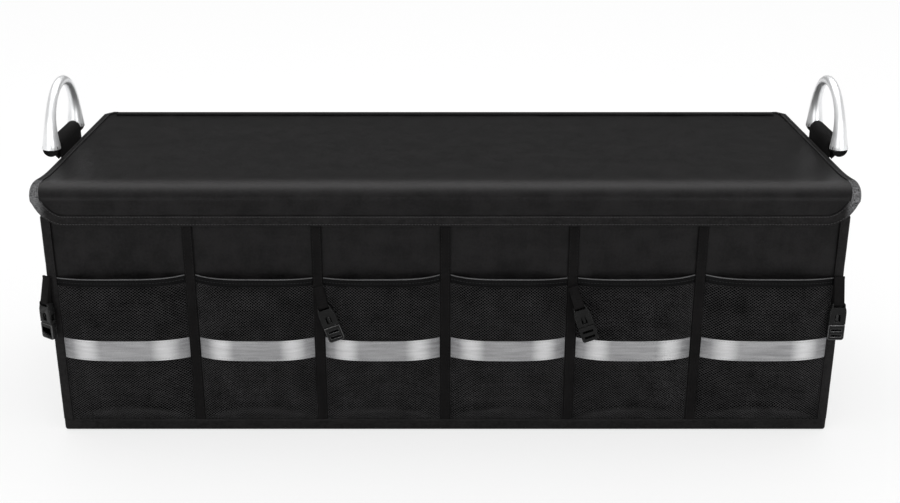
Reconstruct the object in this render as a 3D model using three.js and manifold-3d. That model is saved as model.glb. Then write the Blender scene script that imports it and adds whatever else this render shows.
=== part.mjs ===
// Folding trunk organizer: a long stiffened cloth box with three compartments, six mesh
// pockets on its front, a hinged lid with a front flap, and two swinging bail handles.
// Millimetres, +Z up, X along the length. The pockets face -Y, and left means -X.
// The origin is on the floor, under the middle of the box.

import * as THREE from 'three';
import { mergeVertices } from 'three/addons/utils/BufferGeometryUtils.js';
import Module from 'manifold-3d';

const wasm = await Module();
wasm.setup();

// Overall sizes
const length = 900;
const depth = 325;
const height = 302;

// Sheets, tapes and the gap between pieces that touch
const clearance = 0.3;
const wallThickness = 4;
const baseThickness = 5;
const lidThickness = 5;
const flapThickness = 3;
const floorBoardThickness = 3;
const meshThickness = 1;
const tapeThickness = 1.2;
const closureThickness = 2.4;
const cornerRadius = 3;

// Edge bindings and the webbing bands between the pockets
const baseBindingHeight = 14;
const baseBindingUnder = 14;
const cornerBindingWidth = 11;
const lidBindingWidth = 9;
const bandWidth = 11.5;
const bandPitch = 144;
const bandCount = 5;

// Mesh pockets and their reflective tape; a drop is measured down from the closed lid's top
const pocketDrop = 108;
const pocketBulge = 15;
const pocketTopShare = 0.62;
const hemHeight = 8;
const hemThickness = 2.2;
const hemSag = 3;
const reflectiveWidth = 25;
const reflectiveBelowMouth = 84;
const reflectiveThickness = 0.8;

// Lid, flap and closure
const lidSideOverhang = 5.5;
const flapDrop = 44.5;
const flapCorner = 33;
const closureHeight = 20;
const hingeTapeHeight = 26;
const lidPivotOut = 1.5;

// Inside
const dividerDrop = 24;
const foldGrooveDepth = 0.9;
const foldGrooveWidth = 4;
const floorBoardPlay = 1.5;

// Bail handles
const handleSpacing = 104;
const handleStraight = 16.5;
const handleTube = 11;
const bellDiameter = 18;
const bellStart = 5;
const flareLength = 40;
const rollDiameter = 18;
const knuckleWidth = 19;
const axleDiameter = 8;
const axleAboveLid = 11;
const handleLean = THREE.MathUtils.degToRad(2.5);
const handleLidGap = 0.4;
const tabThickness = 3;
const tabPatchHeight = 72;
const tabPatchDrop = 18;
const tabNeckDrop = 5;

// Side-release buckles on their short straps
const strapWidth = 11.5;
const cornerStrapAboveMouth = 2;
const cornerStrapDrop = 30;
const middleStrapBelowMouth = 10;
const middleStrapDrop = 20;
const strapSewn = 6;
const cornerStandOff = 6;
const faceStandOff = 8;
const middleStandOff = 14;
const cornerBuckleTurn = THREE.MathUtils.degToRad(-35);
const middleBuckleTilt = THREE.MathUtils.degToRad(20);
const buckleWidth = 19;
const buckleThickness = 7.5;
const femaleHeight = 26;
const maleHeight = 19;
const buckleNeck = 15;
const slotHeight = 2.8;
const slotBar = 2.2;
const slotPlay = 0.8;
const cavityWidth = 13.6;
const cavityThickness = 4.2;
const cavityDepth = 17.5;
const prongWidth = 2.8;
const prongTip = 15.5;
const guideWidth = 2.8;
const guideShorter = 2;
const socketShoulder = 13;
const socketNeckRound = 2;
const windowAboveMouth = 4.5;
const windowHeight = 7.5;
const archWidth = 6.4;
const archAboveMouth = 3.5;
const archHeight = 9.5;
const ladderStart = 5.2;
const ladderPitch = 7;
const ladderSlots = 2;
const buckleEdge = 0.7;

// Places worked out from the sizes above
const seat = tapeThickness + clearance;
const wallX = length / 2 - seat;
const wallY = depth / 2 - seat;
const innerX = wallX - wallThickness;
const innerY = wallY - wallThickness;
const wallBottom = seat;
const baseTop = wallBottom + baseThickness;
const lidTop = height - seat;
const lidUnder = lidTop - lidThickness;
const wallTop = lidUnder - seat - clearance;
const dividerTop = height - dividerDrop;
const pocketTop = height - pocketDrop;
const reflectiveCentre = pocketTop - reflectiveBelowMouth;
const flapBottom = height - flapDrop;
const tabPatchTop = height - tabPatchDrop;
const tabNeck = height - tabNeckDrop;
const meshBack = wallY + clearance;
const bandBack = meshBack + meshThickness + clearance;
const bandFront = bandBack + tapeThickness;
const bandBottom = baseBindingHeight + clearance;
const flapBack = wallY + 2 * (clearance + closureThickness) + clearance;
const flapFront = flapBack + flapThickness;
const noseY = -flapFront + lidThickness / 2;
const noseZ = lidTop - lidThickness / 2;
const flapTop = noseZ - lidThickness / 2 - clearance;
const raisedFlap = -(2 * noseY + flapFront);
const lidX = wallX + lidSideOverhang;
const lidBoardX = lidX - seat;
const hingeTapeOut = wallY + seat;
const dividerX = innerX / 3;
const rollRadius = rollDiameter / 2;
const handleX = lidX + handleLidGap + rollRadius;
const handleZ = height + axleAboveLid;
const knuckleInner = handleSpacing / 2 - knuckleWidth / 2;
const tabHalfWidth = knuckleInner - clearance;
const flapBindingTop = noseZ - lidThickness / 2 - tapeThickness - 3 * clearance;
const closureBottom = flapBottom + seat + lidBindingWidth + clearance;
const loopTapeMargin = 2;
const loopTapeBottom = closureBottom - loopTapeMargin;
const bandTop = loopTapeBottom - clearance;

// Materials
const cloth = new THREE.MeshStandardMaterial({ color: 0x232324, roughness: 0.82, metalness: 0 });
const webbing = new THREE.MeshStandardMaterial({ color: 0x19191a, roughness: 0.8, metalness: 0 });
const bindingTape = new THREE.MeshStandardMaterial({ color: 0x2c2c2d, roughness: 0.75, metalness: 0 });
const mesh = new THREE.MeshStandardMaterial({ color: 0x1b1b1c, roughness: 0.7, metalness: 0 });
const reflective = new THREE.MeshStandardMaterial({ color: 0xb9babb, roughness: 0.38, metalness: 0.3 });
const aluminium = new THREE.MeshStandardMaterial({ color: 0xd9dadb, roughness: 0.22, metalness: 1 });
const plastic = new THREE.MeshStandardMaterial({ color: 0x101011, roughness: 0.3, metalness: 0 });
const lining = new THREE.MeshStandardMaterial({ color: 0x2a2a2b, roughness: 0.9, metalness: 0 });

// Frames that lay an outline's plane in the model: its own X and Y axes, then its extrusion
const axisX = new THREE.Vector3(1, 0, 0);
const axisY = new THREE.Vector3(0, 1, 0);
const axisZ = new THREE.Vector3(0, 0, 1);
const upward = new THREE.Matrix4();
const forward = new THREE.Matrix4().makeBasis(axisX, axisZ, axisY.clone().negate());
const sideways = new THREE.Matrix4().makeBasis(axisY, axisZ, axisX);

const organizer = new THREE.Group();

function add(group, name, geometry, material) {
  const piece = new THREE.Mesh(geometry, material);
  piece.name = name;
  group.add(piece);
  return piece;
}

// Boolean work on closed geometries
function solidOf(geometry) {
  const bare = geometry.clone();
  bare.deleteAttribute('normal');
  bare.deleteAttribute('uv');
  const merged = mergeVertices(bare, 1e-4);
  const vertProperties = new Float32Array(merged.attributes.position.array);
  const triVerts = new Uint32Array(merged.index.array);
  return new wasm.Manifold(new wasm.Mesh({ numProp: 3, vertProperties, triVerts }));
}

function geometryOf(solid) {
  const { vertProperties, triVerts } = solid.getMesh();
  const geometry = new THREE.BufferGeometry();
  geometry.setAttribute('position', new THREE.BufferAttribute(vertProperties, 3));
  geometry.setIndex(new THREE.BufferAttribute(triVerts, 1));
  geometry.computeVertexNormals();
  return geometry;
}

function cut(geometry, ...tools) {
  return geometryOf(tools.reduce((left, tool) => left.subtract(solidOf(tool)), solidOf(geometry)));
}

function join(...geometries) {
  const [first, ...others] = geometries.map(solidOf);
  return geometryOf(others.reduce((whole, other) => whole.add(other), first));
}

// A rectangle whose lower and upper corners have their own radii
function rectangle(x0, x1, y0, y1, lower = 0, upper = lower) {
  const shape = new THREE.Shape();
  shape.moveTo(x0 + lower, y0);
  shape.lineTo(x1 - lower, y0);
  if (lower) shape.absarc(x1 - lower, y0 + lower, lower, -Math.PI / 2, 0);
  shape.lineTo(x1, y1 - upper);
  if (upper) shape.absarc(x1 - upper, y1 - upper, upper, 0, Math.PI / 2);
  shape.lineTo(x0 + upper, y1);
  if (upper) shape.absarc(x0 + upper, y1 - upper, upper, Math.PI / 2, Math.PI);
  shape.lineTo(x0, y0 + lower);
  if (lower) shape.absarc(x0 + lower, y0 + lower, lower, Math.PI, 1.5 * Math.PI);
  return shape;
}

// Extrudes an outline from start to end along its frame, with its rims rounded inside the outline
function extrude(shape, frame, start, end, round = 0, curveSegments = 3) {
  const geometry = new THREE.ExtrudeGeometry(shape, {
    depth: end - start - 2 * round,
    curveSegments,
    bevelEnabled: round > 0,
    bevelThickness: round,
    bevelSize: round,
    bevelOffset: -round,
    bevelSegments: 1,
  });
  geometry.translate(0, 0, start + round);
  geometry.applyMatrix4(frame);
  return geometry;
}

// A closed thin shell over a grid: pointAt gives its back, and its front lies before it along -Y
function shell(pointAt, columns, rows, thickness) {
  const positions = [];
  const index = [];
  const layer = columns.length * rows.length;
  for (const forwardBy of [0, thickness]) {
    for (const u of columns) {
      for (const v of rows) {
        const [x, y, z] = pointAt(u, v);
        positions.push(x, y - forwardBy, z);
      }
    }
  }
  const at = (i, j, side) => side * layer + i * rows.length + j;
  const right = columns.length - 1;
  const top = rows.length - 1;
  for (let i = 0; i < right; i++) {
    for (let j = 0; j < top; j++) {
      index.push(at(i, j, 1), at(i + 1, j, 1), at(i + 1, j + 1, 1));
      index.push(at(i, j, 1), at(i + 1, j + 1, 1), at(i, j + 1, 1));
      index.push(at(i, j, 0), at(i + 1, j + 1, 0), at(i + 1, j, 0));
      index.push(at(i, j, 0), at(i, j + 1, 0), at(i + 1, j + 1, 0));
    }
  }
  const rim = (i0, j0, i1, j1) => {
    index.push(at(i1, j1, 1), at(i0, j0, 1), at(i0, j0, 0));
    index.push(at(i1, j1, 1), at(i0, j0, 0), at(i1, j1, 0));
  };
  for (let i = 0; i < right; i++) {
    rim(i, 0, i + 1, 0);
    rim(i + 1, top, i, top);
  }
  for (let j = 0; j < top; j++) {
    rim(right, j, right, j + 1);
    rim(0, j + 1, 0, j);
  }
  const geometry = new THREE.BufferGeometry();
  geometry.setAttribute('position', new THREE.Float32BufferAttribute(positions, 3));
  geometry.setIndex(index);
  geometry.computeVertexNormals();
  return geometry;
}

// Floor of the box, rebated round its underside for the turned-under edge of the binding
function basePanel() {
  const underX = length / 2 - baseBindingUnder - clearance;
  const underRear = depth / 2 - baseBindingUnder - clearance;
  const underFront = bandFront - baseBindingUnder - clearance;
  const insetX = innerX - clearance;
  const insetY = innerY - clearance;
  const lower = rectangle(-underX, underX, -underFront, underRear, cornerRadius);
  const upper = rectangle(-insetX, insetX, -insetY, insetY, cornerRadius);
  return join(
    extrude(lower, upward, 0, wallBottom + 1),
    extrude(upper, upward, wallBottom, baseTop),
  );
}

// One long wall, a flat stiffened board
function longWall(back, front) {
  const outline = rectangle(-wallX, wallX, wallBottom, wallTop, 0, cornerRadius);
  return extrude(outline, forward, back, front, 0.8);
}

// A wall or divider across the box, with the upright groove in each face where it folds
function foldingWall(x, bottom, top) {
  const half = wallThickness / 2;
  const end = innerY - clearance;
  const groove = foldGrooveWidth / 2;
  const shape = new THREE.Shape();
  shape.moveTo(x + half, -end);
  shape.lineTo(x + half, -groove);
  shape.lineTo(x + half - foldGrooveDepth, 0);
  shape.lineTo(x + half, groove);
  shape.lineTo(x + half, end);
  shape.lineTo(x - half, end);
  shape.lineTo(x - half, groove);
  shape.lineTo(x - half + foldGrooveDepth, 0);
  shape.lineTo(x - half, -groove);
  shape.lineTo(x - half, -end);
  return extrude(shape, upward, bottom, top);
}

// Loose stiffening board on the floor of one compartment
function floorBoard(x0, x1) {
  const y = innerY - floorBoardPlay;
  const outline = rectangle(x0 + floorBoardPlay, x1 - floorBoardPlay, -y, y, cornerRadius);
  return extrude(outline, upward, baseTop + clearance, baseTop + clearance + floorBoardThickness, 0.6);
}

// Tape folded round the whole lower edge, up the walls and under them
function baseBinding() {
  const ring = (inset, bottom, top) => extrude(
    rectangle(
      -length / 2 + inset, length / 2 - inset,
      -bandFront + inset, depth / 2 - inset,
      Math.max(cornerRadius - inset, 1),
    ),
    upward, bottom, top,
  );
  return cut(
    ring(0, 0, baseBindingHeight),
    ring(tapeThickness, tapeThickness, baseBindingHeight + 1),
    ring(baseBindingUnder, -1, baseBindingHeight),
  );
}

// Tape folded round one upright corner; across is how far its face stands along Y
function cornerBinding(signX, signY, across) {
  const x = length / 2;
  const shape = new THREE.Shape();
  shape.moveTo(x - cornerBindingWidth, across);
  shape.lineTo(x - cornerBindingWidth, across - tapeThickness);
  shape.lineTo(x - tapeThickness, across - tapeThickness);
  shape.lineTo(x - tapeThickness, across - cornerBindingWidth);
  shape.lineTo(x, across - cornerBindingWidth);
  shape.lineTo(x, across - cornerRadius);
  shape.absarc(x - cornerRadius, across - cornerRadius, cornerRadius, 0, Math.PI / 2);
  const geometry = extrude(shape, upward, bandBottom, signY < 0 ? bandTop : wallTop);
  return mirrored(geometry, signX, signY);
}

// The same solid mirrored across X, Y or both, with its faces still pointing out
function mirrored(geometry, signX, signY) {
  geometry.scale(signX, signY, 1);
  const plain = geometry.index ? geometry.toNonIndexed() : geometry;
  const points = plain.attributes.position;
  if (signX * signY < 0) {
    const second = new THREE.Vector3();
    const third = new THREE.Vector3();
    for (let i = 0; i < points.count; i += 3) {
      second.fromBufferAttribute(points, i + 1);
      third.fromBufferAttribute(points, i + 2);
      points.setXYZ(i + 1, third.x, third.y, third.z);
      points.setXYZ(i + 2, second.x, second.y, second.z);
    }
  }
  plain.computeVertexNormals();
  return plain;
}

// Upright webbing band sewn over the edges of two pockets
function dividerBand(x) {
  const outline = rectangle(x - bandWidth / 2, x + bandWidth / 2, bandBottom, bandTop);
  return extrude(outline, forward, bandBack, bandFront, 0.3);
}

// Edges of the clear mesh and of its hidden flanges, from left to right
function pocketSpans() {
  const bands = Array.from({ length: bandCount }, (_, i) => (i - (bandCount - 1) / 2) * bandPitch);
  const outer = wallX - cornerRadius;
  const inner = length / 2 - cornerBindingWidth;
  const lefts = [-inner, ...bands.map((x) => x + bandWidth / 2)];
  const rights = [...bands.map((x) => x - bandWidth / 2), inner];
  const flangeLefts = [-outer, ...bands.map((x) => x + clearance / 2)];
  const flangeRights = [...bands.map((x) => x - clearance / 2), outer];
  return lefts.map((left, i) => ({
    left,
    right: rights[i],
    flangeLeft: flangeLefts[i],
    flangeRight: flangeRights[i],
  }));
}

// The bulging face of one pocket: how far it stands out, and where its upper edge sags to
function pocketFace(span) {
  const middle = (span.left + span.right) / 2;
  const half = (span.right - span.left) / 2 - clearance;
  const across = (x) => {
    const s = Math.min(Math.abs(x - middle) / half, 1);
    return 1 - s ** 3;
  };
  const topAt = (x) => pocketTop - hemSag * across(x);
  const outAt = (x, z) => {
    const t = THREE.MathUtils.clamp((z - bandBottom) / (topAt(x) - bandBottom), 0, 1);
    const rise = 1 - (1 - t) ** 3;
    const taper = 1 - (1 - pocketTopShare) * t * t;
    return pocketBulge * across(x) * rise * taper;
  };
  return { topAt, outAt, middle, half };
}

// Columns across the clear mesh, closer together where it curves down to the bands
function pocketColumns(face) {
  const steps = 9;
  return Array.from({ length: steps - 1 }, (_, i) => (
    face.middle - face.half * Math.cos((Math.PI * (i + 1)) / steps)
  ));
}

// Mesh pouch sewn down at both sides and its foot, with a folded hem round its mouth
function meshPocket(span) {
  const face = pocketFace(span);
  const foot = wallBottom + clearance;
  const across = pocketColumns(face);
  const columns = [span.flangeLeft, span.left, ...across, span.right, span.flangeRight];
  const rows = [0, 0.07, 0.16, 0.3, 0.48, 0.66, 0.84, 1];
  const surface = (x, t) => {
    const z = bandBottom + t * (face.topAt(x) - bandBottom);
    return [x, -meshBack - face.outAt(x, z), z];
  };
  const pouch = shell(
    (x, t) => (t < 0 ? [x, -meshBack, foot] : surface(x, t)),
    columns, [-1, ...rows], meshThickness,
  );
  const hemStart = 1 - hemHeight / (pocketTop - bandBottom);
  const hemColumns = [span.left + 2 * clearance, ...across, span.right - 2 * clearance];
  const hem = shell(surface, hemColumns, [hemStart, 1], hemThickness);
  return join(pouch, hem);
}

// Reflective tape across one pocket, following its bulge
function reflectiveStrip(span) {
  const face = pocketFace(span);
  const half = reflectiveWidth / 2;
  const columns = [span.left + 2 * clearance, ...pocketColumns(face), span.right - 2 * clearance];
  const rows = [reflectiveCentre - half, reflectiveCentre, reflectiveCentre + half];
  const surface = (x, z) => [x, -bandBack - face.outAt(x, z), z];
  return shell(surface, columns, rows, reflectiveThickness);
}

// Loop tape on the front wall and hook tape in the flap, which meet when the flap is down
function closureTape(halfWidth, bottom, top, back) {
  const outline = rectangle(-halfWidth, halfWidth, bottom, top, 2);
  return extrude(outline, forward, back, back + closureThickness, 0.4);
}

// Cloth tape down the rear wall's upper edge, on which the lid turns
function lidHingeTape() {
  const top = lidTop - lidPivotOut;
  const half = wallX - cornerBindingWidth;
  const outline = rectangle(-half, half, top - hingeTapeHeight, top);
  return extrude(outline, forward, -hingeTapeOut, -wallY - clearance, 0.3);
}

// Lid board with its front edge rolled round
function lidPanel() {
  const rear = wallY;
  const round = lidThickness / 2;
  const profile = new THREE.Shape();
  profile.moveTo(rear, lidUnder);
  profile.lineTo(rear, lidTop);
  profile.lineTo(noseY, lidTop);
  profile.absarc(noseY, noseZ, round, Math.PI / 2, 1.5 * Math.PI);
  profile.lineTo(rear, lidUnder);
  return extrude(profile, sideways, -lidBoardX, lidBoardX, 0, 8);
}

// Tape folded over one side edge of the lid, up to where the raised flap stands
function lidSideBinding(sign) {
  const outer = sign * lidX;
  const edge = sign * (lidX - tapeThickness);
  const inner = sign * (lidX - lidBindingWidth);
  const shape = new THREE.Shape();
  shape.moveTo(inner, lidTop + clearance);
  shape.lineTo(edge, lidTop + clearance);
  shape.lineTo(edge, lidUnder - clearance);
  shape.lineTo(inner, lidUnder - clearance);
  shape.lineTo(inner, lidUnder - seat);
  shape.lineTo(outer - sign, lidUnder - seat);
  shape.lineTo(outer, lidUnder - seat + 1);
  shape.lineTo(outer, height - 1);
  shape.lineTo(outer - sign, height);
  shape.lineTo(inner, height);
  return extrude(shape, forward, -wallY, raisedFlap - clearance);
}

// Flap outline, grown or shrunk by a margin at its sides and lower edge
function flapOutline(margin, top) {
  return rectangle(
    -lidBoardX - margin, lidBoardX + margin,
    flapBottom + seat - margin, top,
    flapCorner - seat + margin, 0,
  );
}

function lidFlap() {
  return extrude(flapOutline(0, flapTop), forward, flapBack, flapFront, 0, 8);
}

// Tape folded round the flap's sides and lower edge
function flapBinding() {
  const above = flapBindingTop + 2;
  const layer = (margin, top, out) => extrude(
    flapOutline(margin, top), forward, flapBack - out, flapFront + out, 0, 8,
  );
  const whole = layer(seat, flapBindingTop, seat);
  const slot = layer(clearance, above, clearance);
  const inside = layer(-lidBindingWidth, above, 2 * seat);
  return cut(whole, slot, inside);
}

// Webbing tab for one handle: a patch on the side wall, a neck round the lid's edge, and a roll
// round the axle. It is drawn for the right side, as a section along Y.
function handleTab() {
  const wall = wallX + clearance;
  const neck = lidX + handleLidGap;
  const patchBottom = tabPatchTop - tabPatchHeight;
  const neckBottom = lidUnder - seat - clearance;
  const toCentreX = handleX - (neck + tabThickness);
  const toCentreZ = handleZ - tabNeck;
  const toCentre = Math.hypot(toCentreX, toCentreZ);
  const tangent = Math.atan2(toCentreZ, toCentreX) - Math.asin(rollRadius / toCentre);
  const shape = new THREE.Shape();
  shape.moveTo(wall, patchBottom);
  shape.lineTo(wall + tabThickness, patchBottom);
  shape.lineTo(wall + tabThickness, tabPatchTop);
  shape.lineTo(neck + tabThickness, neckBottom);
  shape.lineTo(neck + tabThickness, tabNeck);
  shape.absarc(handleX, handleZ, rollRadius, tangent - Math.PI / 2, Math.PI);
  shape.lineTo(neck, neckBottom);
  shape.lineTo(wall, tabPatchTop);
  const bore = new THREE.Path();
  bore.absarc(handleX, handleZ, axleDiameter / 2 + clearance, 0, 2 * Math.PI);
  shape.holes.push(bore);
  return extrude(shape, forward, -tabHalfWidth, tabHalfWidth, 0, 10);
}

// Bar through the roll, with a round knuckle under each leg of the bail, turned about Y
function handleBar() {
  const rod = axleDiameter / 2;
  const inner = knuckleInner;
  const outer = knuckleInner + knuckleWidth;
  const profile = [
    new THREE.Vector2(0, -outer),
    new THREE.Vector2(rollRadius - 2, -outer),
    new THREE.Vector2(rollRadius, -outer + 2),
    new THREE.Vector2(rollRadius, -inner),
    new THREE.Vector2(rod, -inner),
    new THREE.Vector2(rod, inner),
    new THREE.Vector2(rollRadius, inner),
    new THREE.Vector2(rollRadius, outer - 2),
    new THREE.Vector2(rollRadius - 2, outer),
    new THREE.Vector2(0, outer),
  ];
  return new THREE.LatheGeometry(profile, 18);
}

// Point and direction along the bail's centre line, from the foot of one leg to the other's
function bailPoint(distance) {
  const radius = handleSpacing / 2;
  const leg = handleStraight - bellStart;
  const arc = Math.PI * radius;
  if (distance < leg) {
    return { y: -radius, z: bellStart + distance, angle: Math.PI / 2 };
  }
  if (distance > leg + arc) {
    return { y: radius, z: handleStraight - (distance - leg - arc), angle: -Math.PI / 2 };
  }
  const turn = (distance - leg) / radius;
  return {
    y: -radius * Math.cos(turn),
    z: handleStraight + radius * Math.sin(turn),
    angle: Math.PI / 2 - turn,
  };
}

// Aluminium bail: a round tube bent to a U, whose legs open out like bells and sit on the knuckles
function handleBail() {
  const rings = 28;
  const sides = 12;
  const total = 2 * (handleStraight - bellStart) + (Math.PI * handleSpacing) / 2;
  const positions = [];
  const index = [];
  for (let i = 0; i <= rings; i++) {
    const distance = (total * i) / rings;
    const { y, z, angle } = bailPoint(distance);
    const fromFoot = Math.min(distance, total - distance);
    const open = Math.max(1 - fromFoot / flareLength, 0) ** 2.2;
    const radius = (handleTube + (bellDiameter - handleTube) * open) / 2;
    const outY = -Math.sin(angle);
    const outZ = Math.cos(angle);
    for (let k = 0; k < sides; k++) {
      const round = (2 * Math.PI * k) / sides;
      const out = radius * Math.cos(round);
      positions.push(radius * Math.sin(round), y + out * outY, z + out * outZ);
    }
  }
  const last = rings * sides;
  const feet = [0, rings].map((i) => {
    const { y, z } = bailPoint((total * i) / rings);
    positions.push(0, y, z);
    return positions.length / 3 - 1;
  });
  for (let k = 0; k < sides; k++) {
    const next = (k + 1) % sides;
    index.push(feet[0], next, k);
    index.push(feet[1], last + k, last + next);
    for (let i = 0; i < last; i += sides) {
      index.push(i + k, i + next, i + sides + k);
      index.push(i + next, i + sides + next, i + sides + k);
    }
  }
  const tube = new THREE.BufferGeometry();
  tube.setAttribute('position', new THREE.Float32BufferAttribute(positions, 3));
  tube.setIndex(index);
  const saddles = [-1, 1].map((side) => {
    const knuckle = new THREE.CylinderGeometry(
      rollRadius + clearance, rollRadius + clearance, knuckleWidth + 4, 28,
    );
    return knuckle.translate(0, (side * handleSpacing) / 2, 0);
  });
  const leaning = tube.rotateY(-handleLean);
  return cut(leaning, ...saddles);
}

// Short strap, sewn flat at its upper end, whose lower end is folded round the buckle's bar
function buckleStrap(drop, standOff) {
  const eye = slotBar / Math.SQRT2 + clearance;
  const halfLoop = eye + tapeThickness;
  const bar = -drop;
  const shape = new THREE.Shape();
  shape.moveTo(0, 0);
  shape.lineTo(0, -strapSewn);
  shape.lineTo(-standOff + halfLoop, bar);
  shape.absarc(-standOff, bar, halfLoop, 0, -Math.PI, true);
  shape.lineTo(-standOff - halfLoop, bar + 1);
  shape.lineTo(-tapeThickness * 2, -strapSewn + 3);
  shape.lineTo(-tapeThickness * 2, 0);
  const hole = new THREE.Path();
  hole.absarc(-standOff, bar, eye, 0, 2 * Math.PI);
  shape.holes.push(hole);
  return extrude(shape, sideways, -strapWidth / 2, strapWidth / 2, 0, 8);
}

// Bottle outline of a buckle's socket: a narrow neck, sloping shoulders and straight sides
function bottle(top, bottom) {
  const neck = buckleNeck / 2;
  const side = buckleWidth / 2;
  const round = socketNeckRound;
  const shoulder = top - socketShoulder;
  const bend = top - socketShoulder / 2;
  const shape = new THREE.Shape();
  shape.moveTo(-neck + round, top);
  shape.lineTo(neck - round, top);
  shape.absarc(neck - round, top - round, round, Math.PI / 2, 0, true);
  shape.bezierCurveTo(neck, bend, side, bend, side, shoulder);
  shape.lineTo(side, bottom);
  shape.lineTo(-side, bottom);
  shape.lineTo(-side, shoulder);
  shape.bezierCurveTo(-side, bend, -neck, bend, -neck, top - round);
  shape.absarc(-neck + round, top - round, round, Math.PI, Math.PI / 2, true);
  return shape;
}

// Receiving half: a bar for the strap, a hollow for the prongs, and windows at both sides
function buckleSocket() {
  const top = slotBar / 2;
  const bottom = top - femaleHeight;
  const half = buckleThickness / 2;
  const body = extrude(bottle(top, bottom), forward, -half, half, buckleEdge, 4);
  const slotHalf = (strapWidth + slotPlay) / 2;
  const slot = extrude(
    rectangle(-slotHalf, slotHalf, -slotBar / 2 - slotHeight, -slotBar / 2),
    forward, -half - 1, half + 1,
  );
  const besideBar = [-1, 1].map((side) => extrude(
    rectangle(-slotHalf, slotHalf, -slotBar / 2 - 0.1, top + 1),
    forward,
    side < 0 ? -half - 1 : slotBar / 2,
    side < 0 ? -slotBar / 2 : half + 1,
  ));
  const hollow = extrude(
    rectangle(-cavityWidth / 2, cavityWidth / 2, bottom - 1, bottom + cavityDepth, 0, 2),
    forward, -cavityThickness / 2, cavityThickness / 2,
  );
  const windows = extrude(
    rectangle(
      -cavityThickness / 2, cavityThickness / 2,
      bottom + windowAboveMouth, bottom + windowAboveMouth + windowHeight, 1,
    ),
    sideways, -buckleWidth, buckleWidth,
  );
  const archBottom = bottom + archAboveMouth;
  const arch = extrude(
    rectangle(-archWidth / 2, archWidth / 2, archBottom, archBottom + archHeight, 0.8, archWidth / 2 - 0.2),
    forward, 0, half + 1,
  );
  return cut(body, slot, ...besideBar, hollow, windows, arch);
}

// Entering half: a ladder for webbing below, and three prongs that reach up into the socket
function bucklePlug() {
  const mouth = slotBar / 2 - femaleHeight;
  const top = mouth - clearance;
  const bottom = top - maleHeight;
  const half = buckleThickness / 2;
  const slotHalf = (strapWidth + slotPlay) / 2;
  const body = extrude(
    rectangle(-buckleWidth / 2, buckleWidth / 2, bottom, top, 3, 1.5),
    forward, -half, half, buckleEdge, 4,
  );
  const slots = Array.from({ length: ladderSlots }, (_, i) => {
    const slotTop = top - ladderStart - i * ladderPitch;
    const outline = rectangle(-slotHalf, slotHalf, slotTop - slotHeight, slotTop);
    return extrude(outline, forward, -half - 1, half + 1);
  });
  const root = top - 2;
  const reach = mouth + prongTip;
  const thick = cavityThickness / 2 - clearance;
  const armOuter = cavityWidth / 2 - clearance;
  const arms = [-1, 1].map((side) => {
    const x0 = Math.min(side * armOuter, side * (armOuter - prongWidth));
    return extrude(rectangle(x0, x0 + prongWidth, root, reach, 0, 1.2), forward, -thick, thick);
  });
  const guideHalf = guideWidth / 2;
  const guide = extrude(
    rectangle(-guideHalf, guideHalf, root, reach - guideShorter, 0, 1),
    forward, -thick, thick,
  );
  return join(cut(body, ...slots), ...arms, guide);
}

// One closed buckle hanging from its strap. Its group stands where the strap is sewn on.
function buckle(name, place) {
  const group = new THREE.Group();
  group.position.set(place.x, -place.y, place.top);
  group.rotation.z = place.yaw;
  const tilted = new THREE.Group();
  tilted.rotation.y = -place.tilt;
  group.add(tilted);
  add(tilted, `${name}_strap`, buckleStrap(place.drop, place.standOff), webbing);
  const hanging = new THREE.Group();
  hanging.position.set(0, -place.standOff, -place.drop);
  tilted.add(hanging);
  add(hanging, `${name}_socket`, buckleSocket(), plastic);
  add(hanging, `${name}_plug`, bucklePlug(), plastic);
  return group;
}

// Box
add(organizer, 'base_panel', basePanel(), cloth);
add(organizer, 'front_panel', longWall(wallY - wallThickness, wallY), cloth);
add(organizer, 'rear_panel', longWall(-wallY, -wallY + wallThickness), cloth);
const sideWallX = wallX - wallThickness / 2;
add(organizer, 'left_side_panel', foldingWall(-sideWallX, wallBottom, wallTop), cloth);
add(organizer, 'right_side_panel', foldingWall(sideWallX, wallBottom, wallTop), cloth);
add(organizer, 'left_divider', foldingWall(-dividerX, baseTop + clearance, dividerTop), lining);
add(organizer, 'right_divider', foldingWall(dividerX, baseTop + clearance, dividerTop), lining);
const dividerFace = dividerX - wallThickness / 2;
const dividerFar = dividerX + wallThickness / 2;
add(organizer, 'left_floor_board', floorBoard(-innerX, -dividerFar), lining);
add(organizer, 'middle_floor_board', floorBoard(-dividerFace, dividerFace), lining);
add(organizer, 'right_floor_board', floorBoard(dividerFar, innerX), lining);

// Bindings and bands
add(organizer, 'base_binding', baseBinding(), bindingTape);
add(organizer, 'front_left_binding', cornerBinding(-1, -1, bandFront), bindingTape);
add(organizer, 'front_right_binding', cornerBinding(1, -1, bandFront), bindingTape);
add(organizer, 'rear_left_binding', cornerBinding(-1, 1, depth / 2), bindingTape);
add(organizer, 'rear_right_binding', cornerBinding(1, 1, depth / 2), bindingTape);
for (let i = 0; i < bandCount; i++) {
  const x = (i - (bandCount - 1) / 2) * bandPitch;
  add(organizer, `divider_band_${i + 1}`, dividerBand(x), webbing);
}

// Pockets
pocketSpans().forEach((span, i) => {
  add(organizer, `mesh_pocket_${i + 1}`, meshPocket(span), mesh);
  add(organizer, `reflective_strip_${i + 1}`, reflectiveStrip(span), reflective);
});

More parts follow.
